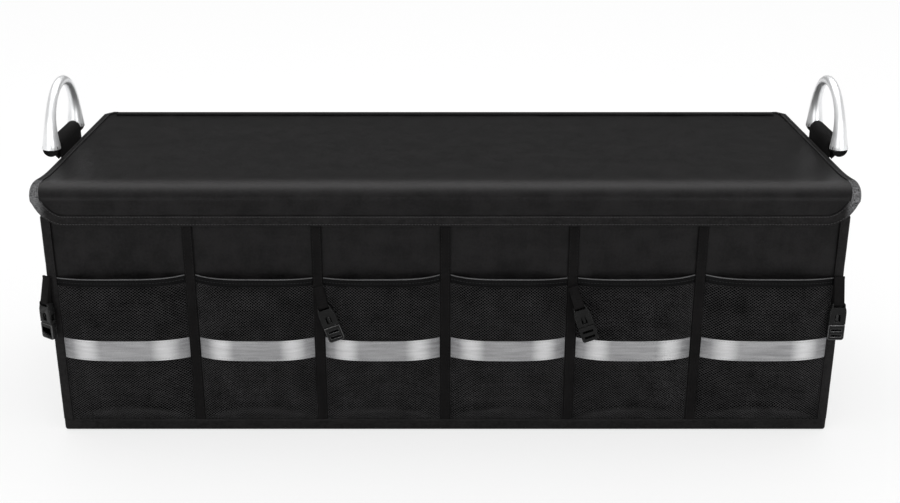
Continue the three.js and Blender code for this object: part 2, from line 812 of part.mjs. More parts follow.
// Lid
const closureHalf = (bandPitch * bandCount) / 2;
const closureTop = closureBottom + closureHeight;
const loopTape = closureTape(closureHalf, loopTapeBottom, closureTop + loopTapeMargin, meshBack);
const hookBack = meshBack + closureThickness + clearance;
add(organizer, 'loop_tape', loopTape, bindingTape);
add(organizer, 'lid_hinge_tape', lidHingeTape(), bindingTape);
add(organizer, 'lid_panel', lidPanel(), cloth);
add(organizer, 'lid_left_binding', lidSideBinding(-1), bindingTape);
add(organizer, 'lid_right_binding', lidSideBinding(1), bindingTape);
add(organizer, 'lid_flap', lidFlap(), cloth);
add(organizer, 'flap_binding', flapBinding(), bindingTape);
add(organizer, 'hook_tape', closureTape(closureHalf, closureBottom, closureTop, hookBack), bindingTape);

// Handles, the left one being the right one turned half round
for (const [side, turn] of [['left', Math.PI], ['right', 0]]) {
  const end = new THREE.Group();
  end.rotation.z = turn;
  organizer.add(end);
  add(end, `${side}_handle_tab`, handleTab(), webbing);
  const swinging = new THREE.Group();
  swinging.position.set(handleX, 0, handleZ);
  end.add(swinging);
  add(swinging, `${side}_handle_bar`, handleBar(), plastic);
  add(swinging, `${side}_handle_bail`, handleBail(), aluminium);
}

// Buckles: one at each front corner and one beside the second and the fourth band
const onBand = bandFront + clearance;
const cornerReach = cornerRadius + clearance;
const atCorner = { top: pocketTop + cornerStrapAboveMouth, drop: cornerStrapDrop, tilt: 0 };
const atBand = {
  y: onBand,
  yaw: 0,
  top: pocketTop - middleStrapBelowMouth,
  drop: middleStrapDrop,
  tilt: middleBuckleTilt,
  standOff: middleStandOff,
};
const buckles = {
  left_corner_buckle: {
    ...atCorner,
    x: -length / 2 + cornerRadius + cornerReach * Math.sin(cornerBuckleTurn),
    y: bandFront - cornerRadius + cornerReach * Math.cos(cornerBuckleTurn),
    yaw: cornerBuckleTurn,
    standOff: cornerStandOff,
  },
  left_middle_buckle: { ...atBand, x: -bandPitch },
  right_middle_buckle: { ...atBand, x: bandPitch },
  right_corner_buckle: {
    ...atCorner,
    x: length / 2 - cornerBindingWidth / 2,
    y: onBand,
    yaw: 0,
    standOff: faceStandOff,
  },
};
for (const [name, place] of Object.entries(buckles)) {
  organizer.add(buckle(name, place));
}

export default organizer;
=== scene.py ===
"""Visual model of a long folding trunk organizer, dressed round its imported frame.

Sizes in the classes are millimetres, and every mesh is made in metres in the frame's own axes:
X along the length, the pockets towards -Y, Z up, the origin on the floor under the middle.
"""
import logging
import math
from contextlib import contextmanager
from dataclasses import dataclass
from enum import Enum
from typing import Iterator, Optional, Sequence

import bpy
import numpy as np
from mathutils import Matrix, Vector, noise


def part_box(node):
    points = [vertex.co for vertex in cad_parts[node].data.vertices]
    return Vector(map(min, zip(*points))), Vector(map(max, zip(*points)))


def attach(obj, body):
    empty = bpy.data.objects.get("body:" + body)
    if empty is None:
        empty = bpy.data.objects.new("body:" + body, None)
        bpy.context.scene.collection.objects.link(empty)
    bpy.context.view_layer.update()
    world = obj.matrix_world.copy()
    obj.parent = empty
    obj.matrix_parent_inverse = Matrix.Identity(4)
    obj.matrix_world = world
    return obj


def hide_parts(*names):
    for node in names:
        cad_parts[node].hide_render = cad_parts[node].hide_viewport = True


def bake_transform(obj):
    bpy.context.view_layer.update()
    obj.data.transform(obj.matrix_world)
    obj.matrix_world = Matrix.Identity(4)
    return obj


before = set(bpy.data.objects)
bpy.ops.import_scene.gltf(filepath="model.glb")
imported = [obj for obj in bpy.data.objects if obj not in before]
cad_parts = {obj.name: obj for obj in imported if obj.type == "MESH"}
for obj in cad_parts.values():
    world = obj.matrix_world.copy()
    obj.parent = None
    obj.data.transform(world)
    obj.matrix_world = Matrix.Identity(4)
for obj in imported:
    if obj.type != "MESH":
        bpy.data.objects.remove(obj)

Piece = bpy.types.Object
Material = bpy.types.Material
Colour = tuple[float, float, float]
LOG = logging.getLogger("organizer")
MM = 0.001
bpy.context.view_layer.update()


# Shader nodes


class Wire:
    """A shader socket that does arithmetic by adding Math nodes."""

    def __init__(self, graph: "Graph", socket: bpy.types.NodeSocket) -> None:
        """Keeps the graph and the socket."""
        self.graph = graph
        self.socket = socket

    def __add__(self, other: "Wire | float") -> "Wire":
        """Sum."""
        return self.graph.math("ADD", self, other)

    __radd__ = __add__

    def __mul__(self, other: "Wire | float") -> "Wire":
        """Product."""
        return self.graph.math("MULTIPLY", self, other)

    __rmul__ = __mul__

    def __sub__(self, other: "Wire | float") -> "Wire":
        """Difference."""
        return self.graph.math("SUBTRACT", self, other)

    def __rsub__(self, other: float) -> "Wire":
        """Difference with the number first."""
        return self.graph.math("SUBTRACT", other, self)

    def __pow__(self, other: float) -> "Wire":
        """Power."""
        return self.graph.math("POWER", self, other)

    def __abs__(self) -> "Wire":
        """Size without sign."""
        return self.graph.math("ABSOLUTE", self)

    def __gt__(self, other: "Wire | float") -> "Wire":
        """1 where this is larger, else 0."""
        return self.graph.math("GREATER_THAN", self, other)

    def sin(self) -> "Wire":
        """Sine of radians."""
        return self.graph.math("SINE", self)


class Graph:
    """The nodes of one material or world."""

    def __init__(self, name: str, kind: str = "materials", shader: str = "Principled BSDF") -> None:
        """Makes the material or world.

        Args:
            name: Its name.
            kind: Which of the file's lists it belongs to.
            shader: The name of its first shader node.
        """
        self.block = getattr(bpy.data, kind).new(name)
        self.block.use_nodes = True
        self.tree = self.block.node_tree
        self.shader = self.tree.nodes[shader]

    def node(self, kind: str, settings: Optional[dict] = None, inputs: Optional[dict] = None) -> bpy.types.Node:
        """Adds one node.

        Args:
            kind: The node's type.
            settings: Its properties, set first.
            inputs: Values or wires by socket name or number.

        Returns:
            The node.
        """
        made = self.tree.nodes.new(kind)
        for key, value in (settings or {}).items():
            setattr(made, key, value)
        for key, value in (inputs or {}).items():
            self.join(made.inputs[key], value)
        return made

    def join(self, socket: bpy.types.NodeSocket, value: "Wire | float | Sequence[float]") -> None:
        """Links a wire to a socket, or sets the socket's value."""
        if isinstance(value, Wire):
            self.tree.links.new(value.socket, socket)
        else:
            socket.default_value = value

    def math(self, operation: str, *values: "Wire | float") -> Wire:
        """One Math node on up to three values."""
        made = self.node("ShaderNodeMath", {"operation": operation}, dict(enumerate(values)))
        return Wire(self, made.outputs[0])

    def place(self, source: str) -> Wire:
        """Object or UV coordinates, in metres."""
        return Wire(self, self.node("ShaderNodeTexCoord").outputs[source])

    def split(self, vector: Wire) -> list[Wire]:
        """The X, Y and Z of a vector."""
        parts = self.node("ShaderNodeSeparateXYZ", inputs={0: vector})
        return [Wire(self, out) for out in parts.outputs]

    def cloud(self, vector: Wire, size_mm: float, detail: float = 2.0, stretch: Sequence[float] = (1, 1, 1)) -> Wire:
        """Soft noise around 0.5.

        Args:
            vector: Where it is read, in metres.
            size_mm: About the size of its blobs.
            detail: Octaves of finer noise.
            stretch: Factors on the three coordinates.

        Returns:
            The noise value.
        """
        scaled = self.node("ShaderNodeMapping", {}, {"Vector": vector, "Scale": tuple(stretch)})
        made = self.node(
            "ShaderNodeTexNoise", {},
            {"Vector": Wire(self, scaled.outputs[0]), "Scale": 1 / (size_mm * MM), "Detail": detail},
        )
        return Wire(self, made.outputs["Fac"])

    def clamp(self, value: Wire) -> Wire:
        """The value held between 0 and 1."""
        made = self.node("ShaderNodeClamp", {}, {0: value})
        return Wire(self, made.outputs[0])

    def mix(self, factor: "Wire | float", low: "Wire | Sequence[float]", high: Sequence[float]) -> Wire:
        """A colour between a colour or wire and a colour."""
        start = low if isinstance(low, Wire) else (*low, 1)
        made = self.node("ShaderNodeMix", {"data_type": "RGBA"}, {0: factor, 6: start, 7: (*high, 1)})
        return Wire(self, made.outputs[2])

    def attribute(self, name: str) -> Wire:
        """A number that the mesh carries at its points."""
        return Wire(self, self.node("ShaderNodeAttribute", {"attribute_name": name}).outputs["Fac"])

    def bump(self, height: Wire, depth_mm: float) -> None:
        """Raises the surface by a height field of 0 to 1 times a depth."""
        made = self.node("ShaderNodeBump", {}, {"Height": height, "Distance": depth_mm * MM, "Strength": 1.0})
        self.join(self.shader.inputs["Normal"], Wire(self, made.outputs[0]))

    def set(self, **values: "Wire | float | Sequence[float]") -> None:
        """Sets the surface shader's sockets, whose names are given with underscores."""
        for key, value in values.items():
            self.join(self.shader.inputs[key.replace("_", " ")], value)


# Finishes


class Weave(Enum):
    """How a cloth is made."""

    PLAIN = "plain weave"
    RIBBED = "ribs across the tape"
    FELTED = "loose fibres"


@dataclass(frozen=True)
class Fabric:
    """Cloth, tape or felt, drawn in the piece's own UV map.

    The pitch of the threads, the relief and the patches' size are millimetres. Where the attribute that the piece
    carries for it is high, the colour turns lighter, the more in spots the higher fibrous is: a painted highlight on
    the lid's fold, and paler lid tape at its front corners.
    """

    name: str
    colour: Colour
    weave: Weave = Weave.PLAIN
    pitch: float = 0.9
    relief: float = 0.12
    roughness: float = 0.62
    sheen: float = 0.15
    specular: float = 0.5
    mottle: float = 0.5
    mottle_size: float = 22.0
    grain: float = 0.6
    slub: float = 0.0
    rub_sheen_mix: float = 0.0
    rub_sheen_colour: Colour = (0.13, 0.13, 0.135)
    fibrous: float = 6.0

    def height(self, graph: Graph) -> Wire:
        """The thread pattern, 0 in the gaps and 1 on the threads."""
        along, across, _ = graph.split(graph.place("UV"))
        turn = math.pi / (self.pitch * MM)
        if self.weave is Weave.RIBBED:
            rib = abs((across * turn).sin())
            yarn = abs((along * turn * 0.8).sin())
            return rib * 0.75 + yarn * 0.25
        if self.weave is Weave.FELTED:
            place = graph.place("Object")
            return graph.cloud(place, 1.2, 4.0) * 0.6 + graph.cloud(place, 0.5, 2.0, (1, 3, 1)) * 0.4
        warp = (along * turn).sin()
        weft = (across * turn).sin()
        over = (warp * weft) > 0.0
        return over * (abs(warp) ** 0.6) + (1.0 - over) * (abs(weft) ** 0.6) * 0.8

    def build(self) -> Material:
        """Makes the material.

        Returns:
            The finished material.
        """
        graph = Graph(self.name)
        place = graph.place("Object")
        threads = self.height(graph)
        patches = graph.cloud(place, self.mottle_size, 3.0)
        lint = graph.cloud(place, 2.5, 2.0)
        streaks = graph.cloud(place, 5.0, 2.0, (0.12, 1, 1)) + graph.cloud(place, 5.0, 2.0, (1, 1, 0.12)) - 1.0
        tone = (threads - 0.5) * 0.5 + (patches - 0.5) * (2.4 * self.mottle)
        tone = tone + (lint - 0.5) * self.grain + streaks * 0.5 + 0.5
        dark = tuple(c * 0.45 for c in self.colour)
        light = tuple(c * 1.55 for c in self.colour)
        colour = graph.mix(tone, dark, light)
        # Painted highlight: where the piece's marked attribute is high the colour turns lighter. Along the lid's fold
        # this stands in for light off the fold, and on the lid tape it makes the two front corners paler.
        if self.rub_sheen_mix:
            fibres = graph.cloud(place, 1.6, 3.0, (1, 1, 2))
            rub_sheen_mask = graph.attribute("rub_and_sheen") * graph.clamp((fibres - 0.48) * self.fibrous + 0.6)
            colour = graph.mix(rub_sheen_mask * self.rub_sheen_mix, colour, self.rub_sheen_colour)
        graph.set(
            Base_Color=colour,
            Roughness=self.roughness + (patches - 0.5) * 0.12 + (lint - 0.5) * 0.12 - threads * 0.05,
            Specular_IOR_Level=self.specular,
            Sheen_Weight=self.sheen,
            Sheen_Roughness=0.45,
        )
        height = threads + lint * 1.2 + patches
        if self.slub:
            height = height + graph.cloud(place, 6.0, 3.0) * self.slub
        graph.bump(height, self.relief)
        return graph.block


@dataclass(frozen=True)
class ReflectiveCoat:
    """Silver retroreflective tape: fine beads on cloth, with a painted highlight across its shoulders and painted shade
    towards its sewn ends.

    The piece's "bend" attribute runs from 0 in its middle to 1 at its ends. The pitch of its lines is millimetres.
    """

    name: str = "reflective_tape"
    pitch: float = 1.8
    shoulder_highlight_at: float = 0.62
    end_shade_from: float = 0.80

    def build(self) -> Material:
        """Makes the material.

        Returns:
            The finished material.
        """
        graph = Graph(self.name)
        place = graph.place("Object")
        beads = graph.cloud(place, 0.5, 1.0)
        rub_and_sheen = graph.cloud(place, 9.0, 4.0, (0.25, 1, 3))
        across, _, _ = graph.split(graph.place("UV"))
        lines = abs((across * (math.pi / (self.pitch * MM))).sin()) ** 6
        # Painted highlight across the tape's shoulders and painted shade towards its sewn ends, placed by where it lies
        # across the pocket.
        bend = graph.attribute("bend")
        away = (bend - self.shoulder_highlight_at) * 4.2
        shoulder_highlight = graph.clamp(1.0 - away * away) ** 1.5
        end = graph.clamp((bend - self.end_shade_from) * 5.0)
        tone = shoulder_highlight * 0.52 + (rub_and_sheen - 0.5) * 0.5 + (beads - 0.5) * 0.4 + lines * 0.06 - end * 0.22 + 0.27
        graph.set(
            Base_Color=graph.mix(tone, (0.13, 0.13, 0.135), (0.64, 0.64, 0.645)),
            Metallic=0.70,
            Roughness=0.36 + rub_and_sheen * 0.14,
        )
        graph.bump(beads + lines * 0.6, 0.05)
        return graph.block


@dataclass(frozen=True)
class Moulded:
    """Glossy moulded plastic with a faint orange peel and scuffs."""

    name: str = "black_plastic"
    colour: Colour = (0.006, 0.006, 0.006)
    gloss: float = 0.10

    def build(self) -> Material:
        """Makes the material.

        Returns:
            The finished material.
        """
        graph = Graph(self.name)
        place = graph.place("Object")
        peel = graph.cloud(place, 1.6, 2.0)
        scuff = graph.cloud(place, 5.0, 5.0, (1, 1, 2.5))
        dark = tuple(c * 0.7 for c in self.colour)
        light = tuple(c * 1.8 for c in self.colour)
        graph.set(
            Base_Color=graph.mix(scuff, dark, light),
            Roughness=0.16 + scuff * 0.2,
            Specular_IOR_Level=self.gloss,
        )
        graph.bump(peel, 0.03)
        return graph.block


@dataclass(frozen=True)
class Metal:
    """Polished aluminium with a fine brushed grain."""

    name: str = "aluminium"

    def build(self) -> Material:
        """Makes the material.

        Returns:
            The finished material.
        """
        graph = Graph(self.name)
        place = graph.place("Object")
        grain = graph.cloud(place, 1.5, 3.0, (3, 3, 0.4))
        haze = graph.cloud(place, 14.0, 3.0)
        graph.set(
            Base_Color=graph.mix(grain * 0.4 + haze * 0.6, (0.74, 0.75, 0.76), (0.90, 0.905, 0.91)),
            Metallic=0.84,
            Roughness=0.34 + grain * 0.1 + haze * 0.08,
        )
        graph.bump(grain, 0.015)
        return graph.block


@dataclass(frozen=True)
class Yarn:
    """Twisted sewing thread."""

    name: str
    colour: Colour
    twist: float = 0.6

    def build(self) -> Material:
        """Makes the material.

        Returns:
            The finished material.
        """
        graph = Graph(self.name)
        x, y, z = graph.split(graph.place("Object"))
        twist = abs(((x + y + z) * (math.pi / (self.twist * MM))).sin())
        dark = tuple(c * 0.5 for c in self.colour)
        graph.set(
            Base_Color=graph.mix(twist, dark, self.colour),
            Roughness=0.42 + twist * 0.1,
            Specular_IOR_Level=0.12,
        )
        graph.bump(twist, 0.08)
        return graph.block


class Finishes:
    """Every finish of the organizer, each made once."""

    def __init__(self) -> None:
        """Makes the materials."""
        # The cloth turns lighter only where the lid cover marks it, along the fold: a painted highlight.
        self.cloth = Fabric(
            "oxford_cloth", (0.0054, 0.0050, 0.0052), relief=0.06, roughness=0.40, sheen=0.0, specular=0.10, mottle=0.9,
            grain=1.4, slub=4.0, rub_sheen_mix=0.9, rub_sheen_colour=(0.050, 0.048, 0.049), fibrous=1.0,
        ).build()
        self.webbing = Fabric(
            "webbing", (0.0050, 0.0046, 0.0047), Weave.RIBBED, pitch=1.4, relief=0.25, roughness=0.60,
            sheen=0.01, specular=0.04,
        ).build()
        # The tape turns lighter only where the lid tape marks it, at its two front corners.
        self.tape = Fabric(
            "binding_tape", (0.0074, 0.0069, 0.0071), Weave.RIBBED, pitch=1.0, relief=0.2, roughness=0.50,
            sheen=0.01, specular=0.08, grain=2.4, rub_sheen_mix=0.95, rub_sheen_colour=(0.19, 0.19, 0.195),
        ).build()
        self.hem = Fabric(
            "hem_tape", (0.0028, 0.0028, 0.0030), Weave.RIBBED, pitch=1.0, relief=0.15, roughness=0.55,
            sheen=0.0, specular=0.05,
        ).build()
        self.piping = Fabric(
            "piping", (0.044, 0.044, 0.045), Weave.RIBBED, pitch=0.8, relief=0.1, roughness=0.40, sheen=0.1,
            specular=0.5, mottle=0.3,
        ).build()
        self.net = Fabric(
            "pocket_mesh", (0.038, 0.037, 0.038), Weave.FELTED, relief=0.05, roughness=0.42, sheen=0.0, specular=0.16,
        ).build()
        # Painted shade: a near-black cloth on the front wall behind the nets, standing in for the shade inside the
        # pockets.
        self.shade = Fabric(
            "painted_pocket_shade", (0.0020, 0.0020, 0.0021), roughness=0.7, sheen=0.0, specular=0.02, mottle=0.4,
        ).build()
        self.lining = Fabric(
            "lining", (0.018, 0.018, 0.0185), Weave.FELTED, relief=0.2, roughness=0.85, sheen=0.02, specular=0.05,
            mottle=0.3,
        ).build()
        self.fuzz = Fabric(
            "hook_and_loop", (0.010, 0.010, 0.010), Weave.FELTED, relief=0.6, roughness=0.9, sheen=0.05, specular=0.05,
            mottle=0.2,
        ).build()
        self.reflective = ReflectiveCoat().build()
        self.plastic = Moulded().build()
        # Finish of the buckles' bevels: glossier, and lighter in colour as a painted glint.
        self.edge = Moulded("plastic_glint_edge", (0.03, 0.03, 0.03), gloss=0.9).build()
        self.bar = Moulded("bar_plastic", (0.004, 0.004, 0.004), gloss=0.03).build()
        self.metal = Metal().build()
        self.black_yarn = Yarn("black_yarn", (0.0085, 0.0085, 0.0088)).build()
        self.hem_yarn = Yarn("hem_yarn", (0.030, 0.030, 0.031)).build()
        self.dull_yarn = Yarn("dull_yarn", (0.085, 0.084, 0.085)).build()
        self.grey_yarn = Yarn("grey_yarn", (0.42, 0.42, 0.43)).build()


# Tools of the modelling bench


def only(piece: Piece) -> None:
    """Selects one object and makes it active."""
    bpy.ops.object.select_all(action="DESELECT")
    piece.select_set(True)
    bpy.context.view_layer.objects.active = piece


@contextmanager
def editing(piece: Piece, mode: str = "VERT", everything: bool = True) -> Iterator[None]:
    """Opens a piece in edit mode.

    Args:
        piece: The mesh object.
        mode: VERT, EDGE or FACE.
        everything: Whether all of it is selected first.
    """
    only(piece)
    bpy.ops.object.mode_set(mode="EDIT")
    bpy.ops.mesh.select_mode(type=mode)
    if everything:
        bpy.ops.mesh.select_all(action="SELECT")
    yield
    bpy.ops.object.mode_set(mode="OBJECT")


def points_of(piece: Piece) -> np.ndarray:
    """The vertices of a piece, in metres."""
    found = np.empty(len(piece.data.vertices) * 3)
    piece.data.vertices.foreach_get("co", found)
    return found.reshape(-1, 3)


def put_points(piece: Piece, points: np.ndarray) -> None:
    """Moves the vertices of a piece, in metres."""
    piece.data.vertices.foreach_set("co", np.ascontiguousarray(points, float).ravel())
    piece.data.update()


def apply(piece: Piece, kind: str, **settings: object) -> None:
    """Adds a modifier with its settings and applies it."""
    only(piece)
    modifier = piece.modifiers.new(kind, kind)
    for key, value in settings.items():
        setattr(modifier, key, value)
    bpy.ops.object.modifier_apply(modifier=modifier.name)


def join(pieces: Sequence[Piece]) -> Piece:
    """Joins pieces into the first of them."""
    only(pieces[0])
    for piece in pieces:
        piece.select_set(True)
    if len(pieces) > 1:
        bpy.ops.object.join()
    return bpy.context.view_layer.objects.active


def mark(piece: Piece, name: str, values: np.ndarray) -> None:
    """Gives a piece's points a number that its material reads."""
    piece.data.attributes.new(name, "FLOAT", "POINT").data.foreach_set("value", values)


def dress(piece: Piece, *looks: Material) -> None:
    """Gives a piece its materials in this order."""
    for look in looks:
        piece.data.materials.append(look)


def normals_of(line: np.ndarray) -> np.ndarray:
    """The way to the left of a flat line at each of its points."""
    step = np.gradient(line, axis=0)
    return np.stack([-step[:, 1], step[:, 0]], 1) / np.linalg.norm(step, axis=1)[:, None]


def block(low: Sequence[float], high: Sequence[float]) -> Piece:
    """A box between two corners.

    Args:
        low: Lowest corner, in metres.
        high: Highest corner, in metres.

    Returns:
        The object, at the origin, with its place in its mesh.
    """
    low, high = Vector(low), Vector(high)
    bpy.ops.mesh.primitive_cube_add(size=1, location=(low + high) / 2, scale=high - low)
    bpy.ops.object.transform_apply(location=True, rotation=True, scale=True)
    return bpy.context.object


def slice_at(piece: Piece, axis: int, places: Sequence[float]) -> None:
    """Cuts edge loops into a piece across an axis, at places in metres."""
    normal = [0.0, 0.0, 0.0]
    normal[axis] = 1.0
    with editing(piece):
        for place in places:
            bpy.ops.mesh.select_all(action="SELECT")
            bpy.ops.mesh.bisect(plane_co=[n * place for n in normal], plane_no=normal)


def loft(points: np.ndarray, across_closed: bool = False, along_closed: bool = False) -> Piece:
    """A skin through rows of points, with a UV map in metres along it.

    Args:
        points: Rows, columns and three coordinates, in millimetres.
        across_closed: Whether each row is a closed loop. Open ends are then capped.
        along_closed: Whether the last row joins the first.

    Returns:
        The object.
    """
    if across_closed:
        points = np.concatenate([points, points[:, :1]], 1)
    if along_closed:
        points = np.concatenate([points, points[:1]], 0)
    rows, columns, _ = points.shape
    bpy.ops.mesh.primitive_grid_add(x_subdivisions=columns - 1, y_subdivisions=rows - 1, size=1)
    piece = bpy.context.object
    put_points(piece, points.reshape(-1, 3) * MM)
    step_across = np.linalg.norm(np.diff(points, axis=1), axis=2).mean(0)
    step_along = np.linalg.norm(np.diff(points, axis=0), axis=2).mean(1)
    across = np.concatenate([[0], np.cumsum(step_across)]) * MM
    along = np.concatenate([[0], np.cumsum(step_along)]) * MM
    corner = np.empty(len(piece.data.loops), int)
    piece.data.loops.foreach_get("vertex_index", corner)
    uv = np.stack([across[corner % columns], along[corner // columns]], 1)
    piece.data.uv_layers.active.data.foreach_set("uv", uv.ravel())
    with editing(piece):
        bpy.ops.mesh.remove_doubles(threshold=1e-6)
        if across_closed and not along_closed:
            bpy.ops.mesh.fill_holes(sides=0)
        if across_closed:
            bpy.ops.mesh.normals_make_consistent(inside=False)
    return piece


def box_uv(piece: Piece) -> None:
    """Gives a piece a UV map in metres, seen straight onto each face."""
    mesh = piece.data
    layer = mesh.uv_layers.active or mesh.uv_layers.new(name="UVMap")
    points = points_of(piece)
    uv = np.empty((len(mesh.loops), 2))
    for face in mesh.polygons:
        main = int(np.argmax(np.abs(face.normal)))
        pair = [axis for axis in (0, 1, 2) if axis != main]
        for loop in face.loop_indices:
            uv[loop] = points[mesh.loops[loop].vertex_index][pair]
    layer.data.foreach_set("uv", uv.ravel())


def bevel(piece: Piece, width: float, segments: int = 2, angle: float = 30.0, look: int = -1) -> None:
    """Rounds the sharp edges of a piece by a width in millimetres, and may give them another finish."""
    apply(
        piece, "BEVEL", width=width * MM, segments=segments, limit_method="ANGLE",
        angle_limit=math.radians(angle), use_clamp_overlap=True, harden_normals=False, material=look,
    )


def solid_of(node: str) -> Piece:
    """A merged copy of a frame node, with its flat faces whole again."""
    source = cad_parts[node]
    piece = bpy.data.objects.new(f"{node}_copy", source.data.copy())
    bpy.context.scene.collection.objects.link(piece)
    piece.data.materials.clear()
    with editing(piece):
        bpy.ops.mesh.remove_doubles(threshold=2e-5)
        bpy.ops.mesh.dissolve_limited(angle_limit=math.radians(1.0))
    return piece


def wavy(points: np.ndarray, size: float, seed: float) -> np.ndarray:
    """Smooth noise from -1 to 1 at points in millimetres, with blobs of that size."""
    flat = points.reshape(-1, 3) / size
    values = [noise.noise(Vector((p[0] + seed, p[1] - seed, p[2] + 2 * seed))) for p in flat]
    return np.array(values).reshape(points.shape[:-1])


def stitches(path: np.ndarray, pitch: float = 4.0, length: float = 2.7, radius: float = 0.27) -> Piece:
    """A row of lock stitches along a line, as one stitch repeated along a curve.

    Args:
        path: Points of the line, in millimetres.
        pitch: From stitch to stitch.
        length: Length of one stitch.
        radius: Radius of its thread.

    Returns:
        The row.
    """
    path = np.asarray(path, float)
    total = float(np.linalg.norm(np.diff(path, axis=0), axis=1).sum())
    curve = bpy.data.curves.new("seam", "CURVE")
    curve.dimensions = "3D"
    line = curve.splines.new("POLY")
    line.points.add(len(path) - 1)
    line.points.foreach_set("co", np.concatenate([path * MM, np.ones((len(path), 1))], 1).ravel())
    seam = bpy.data.objects.new("seam", curve)
    bpy.context.scene.collection.objects.link(seam)
    bpy.ops.mesh.primitive_uv_sphere_add(segments=6, ring_count=4, radius=1)
    row = bpy.context.object
    put_points(row, points_of(row)[:, [2, 1, 0]] * np.array([length / 2, radius, radius]) * MM)
    put_points(row, points_of(row) + np.array([length / 2 * MM, 0, 0]))
    with editing(row):
        bpy.ops.mesh.normals_make_consistent(inside=False)
    count = max(int(total / pitch), 1)
    apply(
        row, "ARRAY", count=count, use_relative_offset=False, use_constant_offset=True,
        constant_offset_displace=(total / count * MM, 0, 0),
    )
    apply(row, "CURVE", object=seam, deform_axis="POS_X")
    bpy.data.objects.remove(seam)
    return row


def finish(
    piece: Piece, name: str, look: Material, body: str = "root",
    nodes: Sequence[str] = (), angle: float = 40.0, uv: bool = False,
) -> Piece:
    """Names a piece, gives it its finish and its body, and hides the nodes that it stands for.

    Args:
        piece: The finished mesh.
        name: Its name.
        look: Its material.
        body: The body that it rides on, or empty for none.
        nodes: The nodes that it replaces.
        angle: Edges sharper than this stay sharp.
        uv: Whether it still needs a UV map.

    Returns:
        The piece.
    """
    if uv:
        box_uv(piece)
    piece.name = piece.data.name = name
    if look.name not in [m.name for m in piece.data.materials if m]:
        piece.data.materials.clear()
        dress(piece, look)
    only(piece)
    bpy.ops.object.shade_smooth_by_angle(angle=math.radians(angle))
    if nodes:
        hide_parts(*nodes)
    if body:
        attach(piece, body)
    LOG.info("%s: %d vertices", name, len(piece.data.vertices))
    return piece


# The organizer's sizes that several sub-assemblies share


@dataclass(frozen=True)
class Sizes:
    """Sizes of the frame, in millimetres."""

    half_length: float = 450.0
    net_back: float = 161.3
    band_back: float = 162.6
    band_front: float = 163.8
    band_bottom: float = 14.3
    band_top: float = 266.0
    wall_top: float = 293.7
    band_width: float = 11.5
    band_pitch: float = 144.0
    corner_binding: float = 11.0
    tape: float = 1.2
    corner_radius: float = 3.0
    rear_face: float = 162.5
    net_bottom: float = 3.0
    shaded_up_to: float = 186.0
    board_grid: float = 11.0
    groove_depth: float = 0.9


SIZES = Sizes()


# The box


